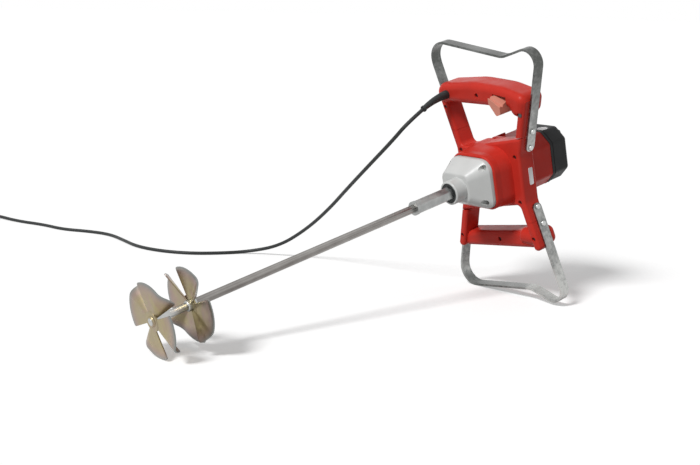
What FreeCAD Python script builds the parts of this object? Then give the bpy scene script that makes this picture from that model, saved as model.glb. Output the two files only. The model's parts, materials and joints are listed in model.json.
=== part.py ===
import FreeCAD, Part
import Sketcher
import math
import os
import re

# A two-handed mixing drill, lying on its lower bow and its front propeller.
# Built about the spindle: x runs back to the motor, y to the left hand, z up the handles.
Vec = FreeCAD.Vector
doc = FreeCAD.newDocument("mixing_drill")
sheet = doc.addObject("Spreadsheet::Sheet", "Sizes")

SIZES = {
    # stirrer
    "paddle_diameter": 120,
    "paddle_sheet": 2.5,
    "paddle_pitch": 21,
    "paddle_spacing": 68,
    "paddle_turn": 76,
    "blade_angle": 62,
    "blade_corner": 9,
    "hub_diameter": 24,
    "hub_length": 9,
    "stirrer_reach": 528,
    "stirrer_flats": 13.5,
    "stirrer_round": 12,
    "weld_ring": 19,
    "weld_length": 5,
    "nose_beyond_hub": 6,
    # tool holder and spindle
    "holder_length": 83,
    "holder_gap": 2,
    "holder_flats": 22,
    "holder_ring": 25,
    "holder_ring_length": 6,
    "holder_socket": 30,
    "thread_diameter": 14,
    "thread_length": 26,
    "spindle_shoulder": 20,
    "seal_diameter": 36,
    "seal_length": 6,
    "spindle_journal": 15,
    "spindle_bearing_diameter": 35,
    "spindle_bearing_width": 11,
    "spindle_tail": 10,
    # gear case
    "collar_diameter": 43,
    "collar_length": 25,
    "case_wall": 4,
    "case_left": 41,
    "case_right": 24,
    "case_top": 28,
    "case_bottom": 24,
    "case_corner": 14,
    "case_edge_round": 5,
    "collar_chamfer": 1.5,
    "flange_half_width": 50,
    "flange_top": 48,
    "flange_bottom": 42,
    "flange_corner": 16,
    "flange_arch": 24,
    "flange_thickness": 10,
    "case_screw_across": 40,
    "case_screw_up": 35.5,
    "case_screw_down": 27,
    "case_screw_head": 8.5,
    "case_screw_size": 4.5,
    # gear train
    "first_module": 1,
    "first_pinion_teeth": 8,
    "first_wheel_teeth": 34,
    "second_module": 1.25,
    "second_pinion_teeth": 8,
    "second_wheel_teeth": 28,
    "first_width": 8,
    "second_width": 14,
    "gear_gap": 1,
    "mid_plate": 4,
    "case_nose_gap": 6,
    "plate_seat": 4,
    "plate_thickness": 8,
    "plate_half_width": 44,
    "plate_top": 43,
    "plate_bottom": 37,
    "plate_corner": 14,
    "motor_axis_up": 5,
    "layshaft_journal": 8,
    "layshaft_bearing_diameter": 16,
    "layshaft_bearing_width": 4,
    "running_clearance": 0.05,
    "seat_clearance": 0.02,
    # motor
    "lip_front": -62,
    "fan_diameter": 76,
    "fan_width": 12,
    "fan_blades": 12,
    "fan_gap": 4,
    "core_gap": 12,
    "core_length": 55,
    "core_diameter": 48,
    "winding_length": 8,
    "winding_diameter": 40,
    "air_gap": 0.6,
    "stator_diameter": 86,
    "armature_shaft": 10,
    "armature_journal": 8,
    "armature_bearing_diameter": 22,
    "armature_bearing_width": 7,
    "commutator_diameter": 30,
    "commutator_length": 18,
    "commutator_gap": 9,
    "brush_width": 6.5,
    "brush_length": 14,
    # housings
    "shell_front": -24,
    "shell_depth": 38,
    "shell_wall": 4.5,
    "edge_round": 5,
    "grip_swell": 5,
    "grip_rear_swell": 14.5,
    "low_set_back": 7,
    "low_taper": 8,
    "low_round": 10,
    "low_end_round": 12,
    "low_foot": 3,
    "joint_gap": 0.5,
    "grip_wall": 6.5,
    "grip_round": 13,
    "grip_end_round": 15,
    "swell_drop": 7,
    "leg_width": 15,
    "waist_half_width": 81.3,
    "bolt_height": 55.7,
    "bolt_spacing": 30.3,
    "splay": 0.288,
    "kink_height": 44,
    "joint_height": 78,
    "saddle_height": 48,
    "barrel_half_width": 54,
    "barrel_top": 54,
    "barrel_bottom": 47,
    "barrel_corner": 22,
    "barrel_arch": 34,
    "barrel_growth": 5,
    "lip_length": 12,
    "lip_round": 4.5,
    "lip_overhang": 4,
    "lip_gap": 1,
    "shell_screw_head": 8,
    "shell_screw_size": 4,
    "shell_screw_sink": 7,
    "shell_boss": 1.5,
    "motor_half_width": 50,
    "motor_top": 53,
    "motor_bottom": 46,
    "motor_chamfer": 21,
    "motor_corner": 9,
    "motor_wall": 3,
    "motor_rear": 93,
    "cap_length": 40,
    "cap_edge_round": 7,
    "cap_slots": 6,
    "step_length": 30,
    "step_width": 46,
    "step_height": 7,
    # handles
    "grip_height": 41.5,
    "crown_left": 16,
    "crown_right": 52,
    "crown_left_drop": 8.5,
    "crown_right_drop": 4.5,
    "crown_end_drop": 18.5,
    "crown_curve": 150,
    "grip_under": 131,
    "grip_corner": 19,
    "lower_corner": 14,
    "lower_left": 126,
    "lower_right": 94.5,
    "grip_thickness": 38,
    "guard_drop": 14,
    "guard_inner": 68,
    "knuckle_diameter": 31,
    "knuckle_length": 40,
    "knuckle_round": 8,
    "guard_toe": 8,
    "trigger_inner": 38,
    "trigger_outer": 64,
    "trigger_top_rise": 23,
    "trigger_slope": 0.25,
    "trigger_proud": 10.5,
    "trigger_ahead": 13,
    "trigger_depth": 32,
    "trigger_swing": 7,
    "trigger_clearance": 0.5,
    "trigger_pin": 4,
    "trigger_tab": 10,
    "trigger_round": 2,
    "trigger_groove": 5,
    "spring_diameter": 6,
    "spring_wire": 0.7,
    "spring_post": 10,
    "button_diameter": 10,
    "button_travel": 3,
    # bows
    "bow_width": 20,
    "bow_thickness": 4,
    "bow_end_height": 48.5,
    "bow_corner_height": 244,
    "bow_corner_round": 24,
    "bow_dip_right": 52,
    "bow_dip_height": 216.5,
    "bow_dip_round": 40,
    "bow_left_right": -130,
    "bow_left_height": 241.4,
    "bow_left_round": 30,
    "bow_left_drop": 45.4,
    "bow_left_bend": 50,
    "bow_end_round": 9,
    "bolt_size": 6,
    "bolt_head": 10,
    "bolt_head_height": 4,
    "bolt_dome": 3,
    "nut_height": 5,
    # cord
    "cord_diameter": 7,
    "boot_length": 58,
    "boot_diameter": 16,
    "boot_end": 9.5,
    "boot_bead": 12,
    "boot_bead_length": 5,
    "boot_across": 79,
    "boot_rise": 16,
    "boot_droop": 10,
    "coil_diameter": 78,
    "coil_pitch": 7.7,
    "coil_layer_gap": 0.6,
    "coil_half_turns": 6,
    "coil_lift": 1.6,
    "coil_tail": 24,
    "tie_thickness": 1.2,
    "tie_width": 6,
    "plug_sleeve": 40,
    "plug_length": 38,
    "plug_width": 34,
    "plug_round": 8,
    "pin_diameter": 4.8,
    "pin_length": 19,
    "pin_spacing": 19,
}

for row, (alias, size) in enumerate(SIZES.items(), start=1):
    sheet.set("A%d" % row, alias.replace("_", " "))
    sheet.set("B%d" % row, str(size))
    sheet.setAlias("B%d" % row, alias)
doc.recompute()


# Value of a sum of sheet names and numbers, each with an optional factor
def number(text):
    total = 0.0
    for term in str(text).replace(" ", "").replace("-", "+-").split("+"):
        if not term:
            continue
        product = 1.0
        if term.startswith("-"):
            product = -1.0
            term = term[1:]
        for factor in term.split("*"):
            product *= sheet.get(factor) if factor[0].isalpha() else float(factor)
        total += product
    return total


# The same sum as an expression on the sheet
def bound(text):
    return re.sub(r"[a-z][a-z_]*", lambda found: "Sizes." + found.group(0), str(text))


pieces = []


# Remember a finished piece and the axis that it was built about
def keep(item, label, offset=Vec()):
    item.Label = label
    pieces.append((item, offset))
    return item


# A shape that part.py works out from the sheet becomes a piece
def shaped(label, shape, offset=Vec()):
    item = doc.addObject("Part::Feature", label)
    item.Shape = shape
    return keep(item, label, offset)


# A closed sketch of straight runs, every corner bound to the sheet
def sketch_on(body, role, corners, lift="0"):
    sketch = body.newObject("Sketcher::SketchObject", body.Name + "_profile")
    plane = [item for item in body.Origin.OriginFeatures if item.Role == role][0]
    sketch.AttachmentSupport = [(plane, "")]
    sketch.MapMode = "FlatFace"
    if number(lift):
        sketch.AttachmentOffset = FreeCAD.Placement(Vec(0, 0, number(lift)), FreeCAD.Rotation())
        sketch.setExpression("AttachmentOffset.Base.z", bound(lift))
    spots = [Vec(number(across), number(up), 0) for across, up in corners]
    for index, start in enumerate(spots):
        sketch.addGeometry(Part.LineSegment(start, spots[(index + 1) % len(spots)]), False)
    for index, corner in enumerate(corners):
        following = (index + 1) % len(corners)
        sketch.addConstraint(Sketcher.Constraint("Coincident", index, 2, following, 1))
        for kind, axis, text in (("DistanceX", -2, corner[0]), ("DistanceY", -1, corner[1])):
            if abs(number(text)) < 1e-9:
                sketch.addConstraint(Sketcher.Constraint("PointOnObject", index, 1, axis))
            else:
                place = sketch.addConstraint(Sketcher.Constraint(kind, -1, 1, index, 1, number(text)))
                sketch.setExpression("Constraints[%d]" % place, bound(text))
    return sketch


# A turned piece: (station, radius) corners spun about the x axis
def turned(label, corners, offset=Vec()):
    body = doc.addObject("PartDesign::Body", label)
    sketch = sketch_on(body, "XZ_Plane", corners)
    spin = body.newObject("PartDesign::Revolution", label + "_spin")
    spin.Profile = sketch
    spin.ReferenceAxis = (sketch, ["H_Axis"])
    spin.Angle = 360
    return keep(body, label, offset)


# A plain ring between two stations
def ring(label, front, rear, inner, outer, offset=Vec()):
    return turned(label, [(front, inner), (rear, inner), (rear, outer), (front, outer)], offset)


# A point of the machine from its station, its place to the photograph's right, and its height
def spot(station, right, up):
    return Vec(station, -right, up)


# A closed or open wire of straight runs with rounded corners, from (right, up, radius) corners
def rounded_wire(corners, station=0.0, closed=True):
    spots = [spot(station, right, up) for right, up, radius in corners]
    count = len(spots)
    trims = []
    for index, (right, up, radius) in enumerate(corners):
        here = spots[index]
        ends = not closed and index in (0, count - 1)
        if not radius or ends:
            trims.append((here, here, here))
            continue
        back = (spots[index - 1] - here).normalize()
        ahead = (spots[(index + 1) % count] - here).normalize()
        half = back.getAngle(ahead) / 2
        reach = radius / math.tan(half)
        middle = (back + ahead).normalize()
        bulge = radius / math.sin(half) - radius
        trims.append((here + back * reach, here + middle * bulge, here + ahead * reach))
    edges = []
    for index in range(count):
        start, top, end = trims[index]
        if start.distanceToPoint(end) > 1e-6:
            edges.append(Part.Arc(start, top, end).toShape())
        if closed or index < count - 1:
            following = trims[(index + 1) % count][0]
            if end.distanceToPoint(following) > 1e-6:
                edges.append(Part.LineSegment(end, following).toShape())
    return Part.Wire(edges)


# A prism of a rounded outline between two stations
def prism(corners, front, rear):
    return Part.Face(rounded_wire(corners, front)).extrude(Vec(rear - front, 0, 0))


# A rod along x
def rod(front, rear, right, up, radius):
    return Part.makeCylinder(radius, rear - front, spot(front, right, up), Vec(1, 0, 0))


# A block between two stations
def block(front, rear, left, right, low, high):
    return Part.makeBox(rear - front, right - left, high - low, spot(front, right, low))


# Round the long edges of a prism at both ends, apart from edges on the given heights
def soften(solid, radius, stations, plain_heights=()):
    chosen = []
    for edge in solid.Edges:
        box = edge.BoundBox
        at_end = [abs(box.XMin - x) < 1e-6 and abs(box.XMax - x) < 1e-6 for x in stations]
        level = box.ZLength < 1e-6 and any(abs(box.ZMin - z) < 1e-6 for z in plain_heights)
        if any(at_end) and not level:
            chosen.append(edge)
    return solid.makeFillet(radius, chosen)


# Parametric bars along x, bound to the sheet
def bar(kind, name, front, rear):
    item = doc.addObject(kind, name)
    item.Placement = FreeCAD.Placement(Vec(number(front), 0, 0), FreeCAD.Rotation(Vec(0, 1, 0), 90))
    item.setExpression("Placement.Base.x", bound(front))
    item.setExpression("Height", bound("%s-(%s)" % (rear, front)))
    return item


def round_bar(name, front, rear, radius):
    item = bar("Part::Cylinder", name, front, rear)
    item.setExpression("Radius", bound(radius))
    return item


def hex_bar(name, front, rear, flats):
    item = bar("Part::Prism", name, front, rear)
    item.Polygon = 6
    item.setExpression("Circumradius", bound(flats) + " / sqrt(3)")
    return item


def fused(label, items):
    item = doc.addObject("Part::MultiFuse", label)
    item.Shapes = items
    return item


def cut_from(label, base, tool):
    item = doc.addObject("Part::Cut", label)
    item.Base = base
    item.Tool = tool
    return item


# One clean solid from a boolean result
def clean(shape):
    solids = shape.removeSplitter().Solids
    return max(solids, key=lambda solid: solid.Volume)


FRONT = number("shell_front")
REAR = number("shell_front+shell_depth")
SPLIT = number("shell_front+0.5*shell_depth")
GRIP_FRONT = number("shell_front-grip_swell")
GRIP_REAR = number("shell_front+shell_depth+grip_rear_swell")
LOW_FRONT = number("shell_front+low_set_back")
WALL = number("shell_wall")
GRIP_WALL = number("grip_wall")
JOINT = number("joint_height")
LEG_END = number("joint_height+joint_gap")
KINK = number("kink_height")
SADDLE = number("saddle_height")
MOTOR_UP = number("motor_axis_up")


# Outer face of a side wall at a height: upright at the waist, then splayed
def wall_out(height):
    climb = max(abs(height), KINK) - number("bolt_height")
    return number("waist_half_width") + climb * number("splay")


# Inner face of a leg at a height
def leg_in(height):
    return wall_out(height) - number("leg_width")


# Middle of a leg at a height
def leg_middle(height):
    return wall_out(height) - number("0.5*leg_width")


# Four rounded corners of a box outline, arched at the top
def box_outline(left, right, low, high, corner, arch):
    return [(-left, high, arch), (right, high, arch), (right, -low, corner), (-left, -low, corner)]


# Room inside a prism of an outline, a wall thickness in from its sides and from its ends
def room(outline, front, rear, end_wall):
    face = Part.Face(rounded_wire(outline, front + end_wall)).makeOffset2D(-WALL)
    return face.extrude(Vec(rear - front - 2 * end_wall, 0, 0))


# Add bosses for the housing screws, then sink and drill them
def with_screws(shell, form, screws):
    boss_radius = number("0.5*shell_screw_head+shell_boss")
    bosses = []
    holes = []
    for right, up, front in screws:
        bosses.append(rod(front + 2, GRIP_REAR - 2, right, up, boss_radius).common(form))
        sink = front + number("shell_screw_sink")
        holes.append(rod(front - 1, sink, right, up, number("0.5*shell_screw_head+0.2")))
        holes.append(rod(sink - 1, SPLIT + number("3*shell_screw_size"), right, up,
                         number("0.5*shell_screw_size+seat_clearance")))
    return shell.fuse(bosses).cut(holes).Solids[0]


# The part of a housing in front of the split, or behind it
def half_of(shell, front, rear):
    return shell.common(block(front, rear, -200, 200, -300, 300)).Solids[0]


# A handle: a deep round grip on two flat legs that stop at the joint with the body
def handle(grip_outline, front, grip_round, legs, hollows, screws, extras=()):
    form = soften(prism(grip_outline, front, GRIP_REAR), grip_round, (front, GRIP_REAR))
    rooms = [room(grip_outline, front, GRIP_REAR, GRIP_WALL)]
    rooms += [room(outline, FRONT, REAR, WALL) for outline in hollows]
    for leg_outline in legs:
        ends = (leg_outline[0][1],)
        form = form.fuse(soften(prism(leg_outline, FRONT, REAR), number("edge_round"), (FRONT, REAR), ends))
    shell = form
    for one in rooms:
        shell = shell.cut(one)
    for extra in extras:
        shell = shell.fuse(extra)
    return with_screws(shell, form, screws)


# Outline of a leg from the joint to a height inside the grip; side 1 is the photograph's right
def leg(side, level, height, corner):
    return [(side * wall_out(LEG_END), level * LEG_END, 0), (side * wall_out(height), level * height, corner),
            (side * leg_in(height), level * height, corner), (side * leg_in(LEG_END), level * LEG_END, 0)]


# Body between the handles: an hourglass that carries a barrel for the motor and the gear case
body_side = [(wall_out(JOINT), JOINT, 0), (wall_out(KINK), KINK, 30), (wall_out(KINK), -KINK, 30)]
body_side += [(wall_out(JOINT), -JOINT, 0), (leg_in(JOINT), -JOINT, 0), (leg_in(SADDLE), -SADDLE, 10)]
body_outline = body_side + [(-right, -up, radius) for right, up, radius in body_side]
waist_right = wall_out(0) - number("shell_wall+6.5")
waist_screws = [(side * waist_right, level * (KINK - 2), FRONT) for side in (1, -1) for level in (1, -1)]


# Outline of the barrel, grown by a margin
def barrel_outline(margin=0.0):
    half = number("barrel_half_width") + margin
    return box_outline(half, half, number("barrel_bottom") + margin, number("barrel_top") + margin,
                       number("barrel_corner") + margin, number("barrel_arch") + margin)


LIP = number("lip_front")
PLATE_REAR = number("lip_front+plate_thickness-plate_seat")
STATOR_FRONT = number("lip_front+plate_thickness-plate_seat+fan_gap+fan_width+core_gap")
lip_rear = number("lip_front+lip_length")
growth = number("barrel_growth")
lip_edge = number("lip_front-lip_overhang")
lip = soften(prism(barrel_outline(), lip_edge, lip_rear), number("lip_round"), (lip_edge,))
flare = Part.makeLoft([rounded_wire(barrel_outline(), lip_rear),
                       rounded_wire(barrel_outline(growth), FRONT + WALL)], True, True)
core = soften(prism(barrel_outline(growth), FRONT + WALL, REAR), number("lip_round"), (REAR,))
plate = soften(prism(body_outline, FRONT, REAR), number("edge_round"), (FRONT, REAR), (JOINT, -JOINT))
body_form = plate.fuse([lip, flare, core])
side_rooms = room(body_outline, FRONT, REAR, WALL).cut(prism(barrel_outline(growth), FRONT, REAR))
body_shell = with_screws(body_form.cut(side_rooms), body_form, waist_screws)
lip_gap = number("lip_gap")
flange_half = number("flange_half_width")
hood_outline = box_outline(flange_half + lip_gap, flange_half + lip_gap, number("flange_bottom+lip_gap"),
                           number("flange_top+lip_gap"), number("flange_corner+lip_gap"),
                           number("flange_arch+lip_gap"))
body_shell = body_shell.cut(prism(hood_outline, lip_edge - 1, LIP))
plate_outline = box_outline(number("plate_half_width"), number("plate_half_width"), number("plate_bottom"),
                            number("plate_top"), number("plate_corner"), number("plate_corner"))
first_centres = number("0.5*first_module*first_pinion_teeth+0.5*first_module*first_wheel_teeth")
second_centres = number("0.5*second_module*second_pinion_teeth+0.5*second_module*second_wheel_teeth")
MOTOR_RIGHT = math.sqrt(first_centres ** 2 - MOTOR_UP ** 2) - second_centres
motor_axis = spot(0, MOTOR_RIGHT, MOTOR_UP)
lay_axis = spot(0, -second_centres, 0)
body_shell = body_shell.cut([
    prism(plate_outline, LIP - 1, PLATE_REAR),
    rod(PLATE_REAR - 1, STATOR_FRONT + 1, MOTOR_RIGHT, MOTOR_UP, number("0.5*fan_diameter+3")),
    rod(STATOR_FRONT, REAR + 1, MOTOR_RIGHT, MOTOR_UP, number("0.5*stator_diameter+seat_clearance"))])

# Top handle: the grip swells at its left end and hangs a guard beside the trigger
under = number("grip_under")
crown = number("grip_under+grip_height")
crown_left = number("grip_under+grip_height-crown_left_drop")
crown_right = number("grip_under+grip_height-crown_right_drop")
crown_end = number("grip_under+grip_height-crown_end_drop")
crown_curve = number("crown_curve")
guard = number("guard_inner")
guard_low = number("grip_under-guard_drop")
swell_low = number("grip_under-swell_drop")
end_round = number("grip_end_round")
top_grip = [
    (-wall_out(crown_left), crown_left, number("grip_corner")),
    (-number("crown_left"), crown, crown_curve),
    (number("crown_right"), crown_right, crown_curve),
    (wall_out(crown_end), crown_end, end_round),
    (wall_out(guard_low - 3), guard_low - 3, end_round),
    (guard + number("guard_toe"), guard_low, end_round),
    (guard, under, number("0.5*guard_toe")),
    (-leg_in(under) + 12, under, 12),
    (-wall_out(swell_low), swell_low, end_round),
]
leg_screw_height = under - 10
top_screws = [(-leg_middle(leg_screw_height), leg_screw_height, FRONT),
              (leg_middle(leg_screw_height), leg_screw_height, GRIP_FRONT), (-3, under + 19, GRIP_FRONT)]
leg_top = under + 2 * WALL + 4
top_legs = [leg(side, 1, leg_top, 0) for side in (1, -1)]
top_round = min(number("grip_round"), number("0.4*grip_height-0.4*crown_left_drop"))
top_shell = handle(top_grip, GRIP_FRONT, top_round, top_legs, top_legs, top_screws)

# Bottom handle: a plain grip set back between legs that run to its lower edge, with a knuckle on the right
low_left = number("lower_left")
low_right = number("lower_right")
thin = number("grip_thickness-low_taper")
right_foot = number("lower_right+grip_thickness-low_taper+low_foot")
left_foot = low_left + thin
low_end = number("low_end_round")
low_grip = [
    (-wall_out(low_left), -low_left, low_end),
    (wall_out(low_right), -low_right, low_end),
    (wall_out(right_foot), -right_foot, low_end),
    (-wall_out(left_foot), -left_foot, number("lower_corner")),
]
low_screws = [(-leg_middle(low_left + 4), -low_left - 4, FRONT),
              (leg_middle(low_right + 14), -low_right - 14, FRONT),
              (-3, -(low_left + low_right) / 2 - 0.5 * thin, LOW_FRONT)]
leg_corner = number("0.45*leg_width")
low_legs = [leg(1, -1, right_foot + number("low_foot"), leg_corner),
            leg(-1, -1, left_foot - number("low_foot"), leg_corner)]
knuckle_radius = number("0.5*knuckle_diameter")
knuckle_up = -(low_right + right_foot) / 2
knuckle_end = leg_middle(knuckle_up)
knuckle = Part.makeCylinder(knuckle_radius, number("knuckle_length"),
                            spot(FRONT + 1.5 + knuckle_radius, knuckle_end, knuckle_up), Vec(0, 1, 0))
knuckle_rim = [edge for edge in knuckle.Edges if edge.Closed and edge.CenterOfMass.y > -knuckle_end + 1]
knuckle = knuckle.makeFillet(number("knuckle_round"), knuckle_rim)
low_round = min(number("low_round"), 0.35 * thin)
low_hollows = [leg(1, -1, low_right - WALL, 0), leg(-1, -1, low_left - WALL, 0)]
low_shell = handle(low_grip, LOW_FRONT, low_round, low_legs, low_hollows, low_screws, [knuckle])


# Stations of the gear train, each from the one behind it
gear_plate_front = "lip_front-plate_seat"
first_rear = gear_plate_front + "-3*gear_gap"
first_front = first_rear + "-first_width"
mid_rear = first_front + "-gear_gap"
mid_front = mid_rear + "-mid_plate"
second_rear = mid_front + "-gear_gap"
second_front = second_rear + "-second_width"
case_front = second_front + "-case_nose_gap"
collar_front = case_front + "-collar_length"
holder_rear = collar_front + "-holder_gap"
holder_front = holder_rear + "-holder_length"
front_hub = holder_front + "-stirrer_reach"
rear_hub = front_hub + "+paddle_spacing"

# Stirrer shaft: a hexagon bar, round where the propellers sit
hub_back = rear_hub + "+0.5*hub_length"
hexagon = hex_bar("stirrer_hexagon", hub_back, holder_front, "stirrer_flats")
core_bar = round_bar("stirrer_core", front_hub + "-0.5*hub_length-nose_beyond_hub",
                     holder_front + "+holder_socket-1", "0.5*stirrer_round")
weld = round_bar("stirrer_weld", hub_back, hub_back + "+weld_length", "0.5*weld_ring")
keep(fused("stirrer_bar", [hexagon, core_bar, weld]), "stirrer_shaft")


# A stamped propeller: four pitched blades on a hub
def propeller(label, station, pitch):
    tip = number("0.5*paddle_diameter")
    spread = math.radians(number("0.5*blade_angle"))
    lean = math.radians(abs(pitch))
    root = number("0.5*hub_diameter") - 3
    side = math.tan(spread) / math.cos(lean)
    corner_out = tip * math.cos(spread)
    corner_across = tip * math.sin(spread) / math.cos(lean)
    spots = [Vec(0, -root * side, root), Vec(0, -corner_across, corner_out), Vec(0, 0, tip),
             Vec(0, corner_across, corner_out), Vec(0, root * side, root)]
    edges = [Part.LineSegment(spots[0], spots[1]).toShape(), Part.Arc(spots[1], spots[2], spots[3]).toShape(),
             Part.LineSegment(spots[3], spots[4]).toShape(), Part.LineSegment(spots[4], spots[0]).toShape()]
    sheet_half = number("0.5*paddle_sheet")
    blade = Part.Face(Part.Wire(edges)).extrude(Vec(2 * sheet_half, 0, 0))
    blade.translate(Vec(-sheet_half, 0, 0))
    corners = [edge for edge in blade.Edges if edge.BoundBox.XLength > sheet_half
               and abs(edge.CenterOfMass.z - corner_out) < 0.1]
    blade = blade.makeFillet(number("blade_corner"), corners)
    blade.rotate(Vec(), Vec(0, 0, 1), pitch)
    half = number("0.5*hub_length")
    form = rod(-half, half, 0, 0, number("0.5*hub_diameter"))
    for turn in range(4):
        copy = blade.copy()
        copy.rotate(Vec(), Vec(1, 0, 0), 90 - number("paddle_turn") + 90 * turn)
        form = form.fuse(copy)
    form = form.cut(rod(-half - 1, half + 1, 0, 0, number("0.5*stirrer_round+seat_clearance")))
    form = clean(form)
    form.translate(Vec(number(station), 0, 0))
    return shaped(label, form)


front_propeller = propeller("front_propeller", front_hub, number("paddle_pitch"))
propeller("rear_propeller", rear_hub, -number("paddle_pitch"))

# Tool holder: a hexagon sleeve between the spindle thread and the stirrer shaft
sleeve = fused("holder_form", [hex_bar("holder_hexagon", holder_front, holder_rear, "holder_flats"),
                               round_bar("holder_end_ring", holder_front, holder_front + "+holder_ring_length",
                                         "0.5*holder_ring")])
sockets = fused("holder_sockets", [
    round_bar("holder_front_socket", holder_front + "-1", holder_front + "+holder_socket",
              "0.5*stirrer_round+seat_clearance"),
    round_bar("holder_rear_socket", holder_rear + "-thread_length-1", holder_rear + "+1",
              "0.5*thread_diameter+seat_clearance")])
keep(cut_from("holder_cut", sleeve, sockets), "tool_holder")

# Spindle, with its seal, bearing and rear bush
seal_front = collar_front + "+1"
bearing_front = seal_front + "+seal_length+1"
bearing_rear = bearing_front + "+spindle_bearing_width"
shoulder_rear = bearing_front + "-0.3"
journal = "0.5*spindle_journal"
tail = "0.5*spindle_tail"
turned("spindle", [
    (holder_rear + "-thread_length", "0"), (mid_rear + "-0.3", "0"), (mid_rear + "-0.3", tail),
    (second_rear, tail), (second_rear, journal), (shoulder_rear, journal),
    (shoulder_rear, "0.5*spindle_shoulder"), (holder_rear, "0.5*spindle_shoulder"),
    (holder_rear, "0.5*thread_diameter"), (holder_rear + "-thread_length", "0.5*thread_diameter")])
ring("spindle_seal", seal_front, seal_front + "+seal_length", "0.5*spindle_shoulder+running_clearance",
     "0.5*seal_diameter")
ring("spindle_front_bearing", bearing_front, bearing_rear, journal + "+running_clearance",
     "0.5*spindle_bearing_diameter")
ring("spindle_rear_bush", mid_front, mid_rear, tail + "+running_clearance", tail + "+3")


# Involute gear between two stations, with a tooth centred on a given angle from y towards z
def gear(module, teeth, shift, front, rear, tooth_angle, bore=0.0):
    pitch_radius = module * teeth / 2
    pressure = math.radians(20)
    base = pitch_radius * math.cos(pressure)
    tip = pitch_radius + module * (0.8 + shift)
    root = pitch_radius - module * (1.25 - shift)
    backlash = 0.08 * module
    thick = module * (math.pi / 2 + 2 * shift * math.tan(pressure)) - backlash
    half_pitch = thick / (2 * pitch_radius) + math.tan(pressure) - pressure

    def half_angle(radius):
        swing = math.acos(min(1.0, base / radius))
        relief = 0.04 * max(0.0, base - radius) / module
        return half_pitch - math.tan(swing) + swing - relief

    steps = 4
    start = max(base, root)
    radii = [root] if root < base else []
    radii += [start + (tip - start) * step / steps for step in range(steps + 1)]
    spots = []
    for tooth in range(int(teeth)):
        middle = tooth_angle + 2 * math.pi * tooth / teeth
        flank = [(radius, middle - half_angle(radius)) for radius in radii]
        flank += [(radius, middle + half_angle(radius)) for radius in reversed(radii)]
        spots += [Vec(front, radius * math.cos(angle), radius * math.sin(angle)) for radius, angle in flank]
    form = Part.Face(Part.makePolygon(spots + spots[:1])).extrude(Vec(rear - front, 0, 0))
    return form.cut(rod(front - 1, rear + 1, 0, 0, bore)) if bore else form


first = number("first_module")
second = number("second_module")
first_pinion = number("first_pinion_teeth")
first_wheel = number("first_wheel_teeth")
second_pinion = number("second_pinion_teeth")
second_wheel = number("second_wheel_teeth")
mesh_angle = math.atan2(-MOTOR_UP, second_centres + MOTOR_RIGHT)
seat = number("seat_clearance")
shaped("spindle_gear", gear(second, second_wheel, -0.5, number(second_front), number(second_rear),
                            math.pi / second_wheel, number(journal) + seat))

# Layshaft: small gear cut on it, large gear pressed on, bush in front and bearing behind
lay_radius = number("0.5*layshaft_journal")
lay_gear_seat = lay_radius + 1
bush_front = case_front + "+2"
lay_form = gear(second, second_pinion, 0.5, number(second_front), number(second_rear), math.pi)
lay_form = lay_form.fuse([
    rod(number(bush_front) + 0.3, number(second_front), 0, 0, lay_radius),
    rod(number(second_rear), number(first_rear), 0, 0, lay_gear_seat),
    rod(number(first_rear), number("lip_front") - 0.3, 0, 0, lay_radius)])
shaped("layshaft", lay_form.Solids[0], lay_axis)
shaped("layshaft_gear", gear(first, first_wheel, -0.5, number(first_front), number(first_rear),
                             mesh_angle + math.pi + math.pi / first_wheel, lay_gear_seat + seat), lay_axis)
ring("layshaft_front_bush", bush_front, second_front + "-0.3", "0.5*layshaft_journal+running_clearance",
     "0.5*layshaft_journal+2", lay_axis)
ring("layshaft_rear_bearing", gear_plate_front, gear_plate_front + "+layshaft_bearing_width",
     "0.5*layshaft_journal+running_clearance", "0.5*layshaft_bearing_diameter", lay_axis)

# Gear case: a die casting that tapers from its flange to the clamping collar
CASE = number(case_front)
COLLAR = number(collar_front)
FLANGE = number("lip_front-flange_thickness")
screw_spots = [(side * number("case_screw_across"), up) for side in (1, -1)
               for up in (number("case_screw_up"), -number("case_screw_down"))]
flange_outline = box_outline(number("flange_half_width"), number("flange_half_width"), number("flange_bottom"),
                             number("flange_top"), number("flange_corner"), number("flange_arch"))
face_outline = box_outline(number("case_left"), number("case_right"), number("case_bottom"), number("case_top"),
                           number("case_corner"), number("case_corner"))
second_room = box_outline(number("case_left-case_wall"), number("case_right-case_wall"),
                          number("case_bottom-case_wall"), number("case_top-case_wall"), 10, 10)
first_room = box_outline(number("case_left+1"), number("case_right+6"), number("case_bottom+2"),
                         number("case_top+2"), 10, 10)
taper = Part.makeLoft([rounded_wire(face_outline, CASE), rounded_wire(flange_outline, FLANGE)], True, True)
taper = soften(taper, number("case_edge_round"), (CASE,))
case_form = taper.fuse([prism(flange_outline, FLANGE, LIP),
                        rod(COLLAR, CASE + 5, 0, 0, number("0.5*collar_diameter"))])
PLATE_FRONT = number(gear_plate_front)
head_seat = FLANGE + 4
case_cuts = [prism(second_room, number(second_front) - 1, number(mid_front)),
             prism(first_room, number(mid_front), PLATE_FRONT),
             prism(plate_outline, PLATE_FRONT, LIP + 1),
             rod(COLLAR - 1, number(bearing_front), 0, 0, number("0.5*seal_diameter+seat_clearance")),
             rod(COLLAR, number(bearing_rear), 0, 0, number("0.5*spindle_bearing_diameter+seat_clearance")),
             rod(COLLAR, number(second_front), 0, 0, number("0.5*spindle_bearing_diameter-4")),
             rod(number(bush_front), number(second_front), -second_centres, 0, lay_radius + 2 + seat)]
screw_radius = number("0.5*case_screw_size")
head_radius = number("0.5*case_screw_head")
for right, up in screw_spots:
    case_cuts.append(rod(CASE - 5, head_seat, right, up, head_radius + 1))
    case_cuts.append(rod(head_seat - 1, LIP + 1, right, up, screw_radius + seat))
case_form = clean(case_form.cut(case_cuts))
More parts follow.
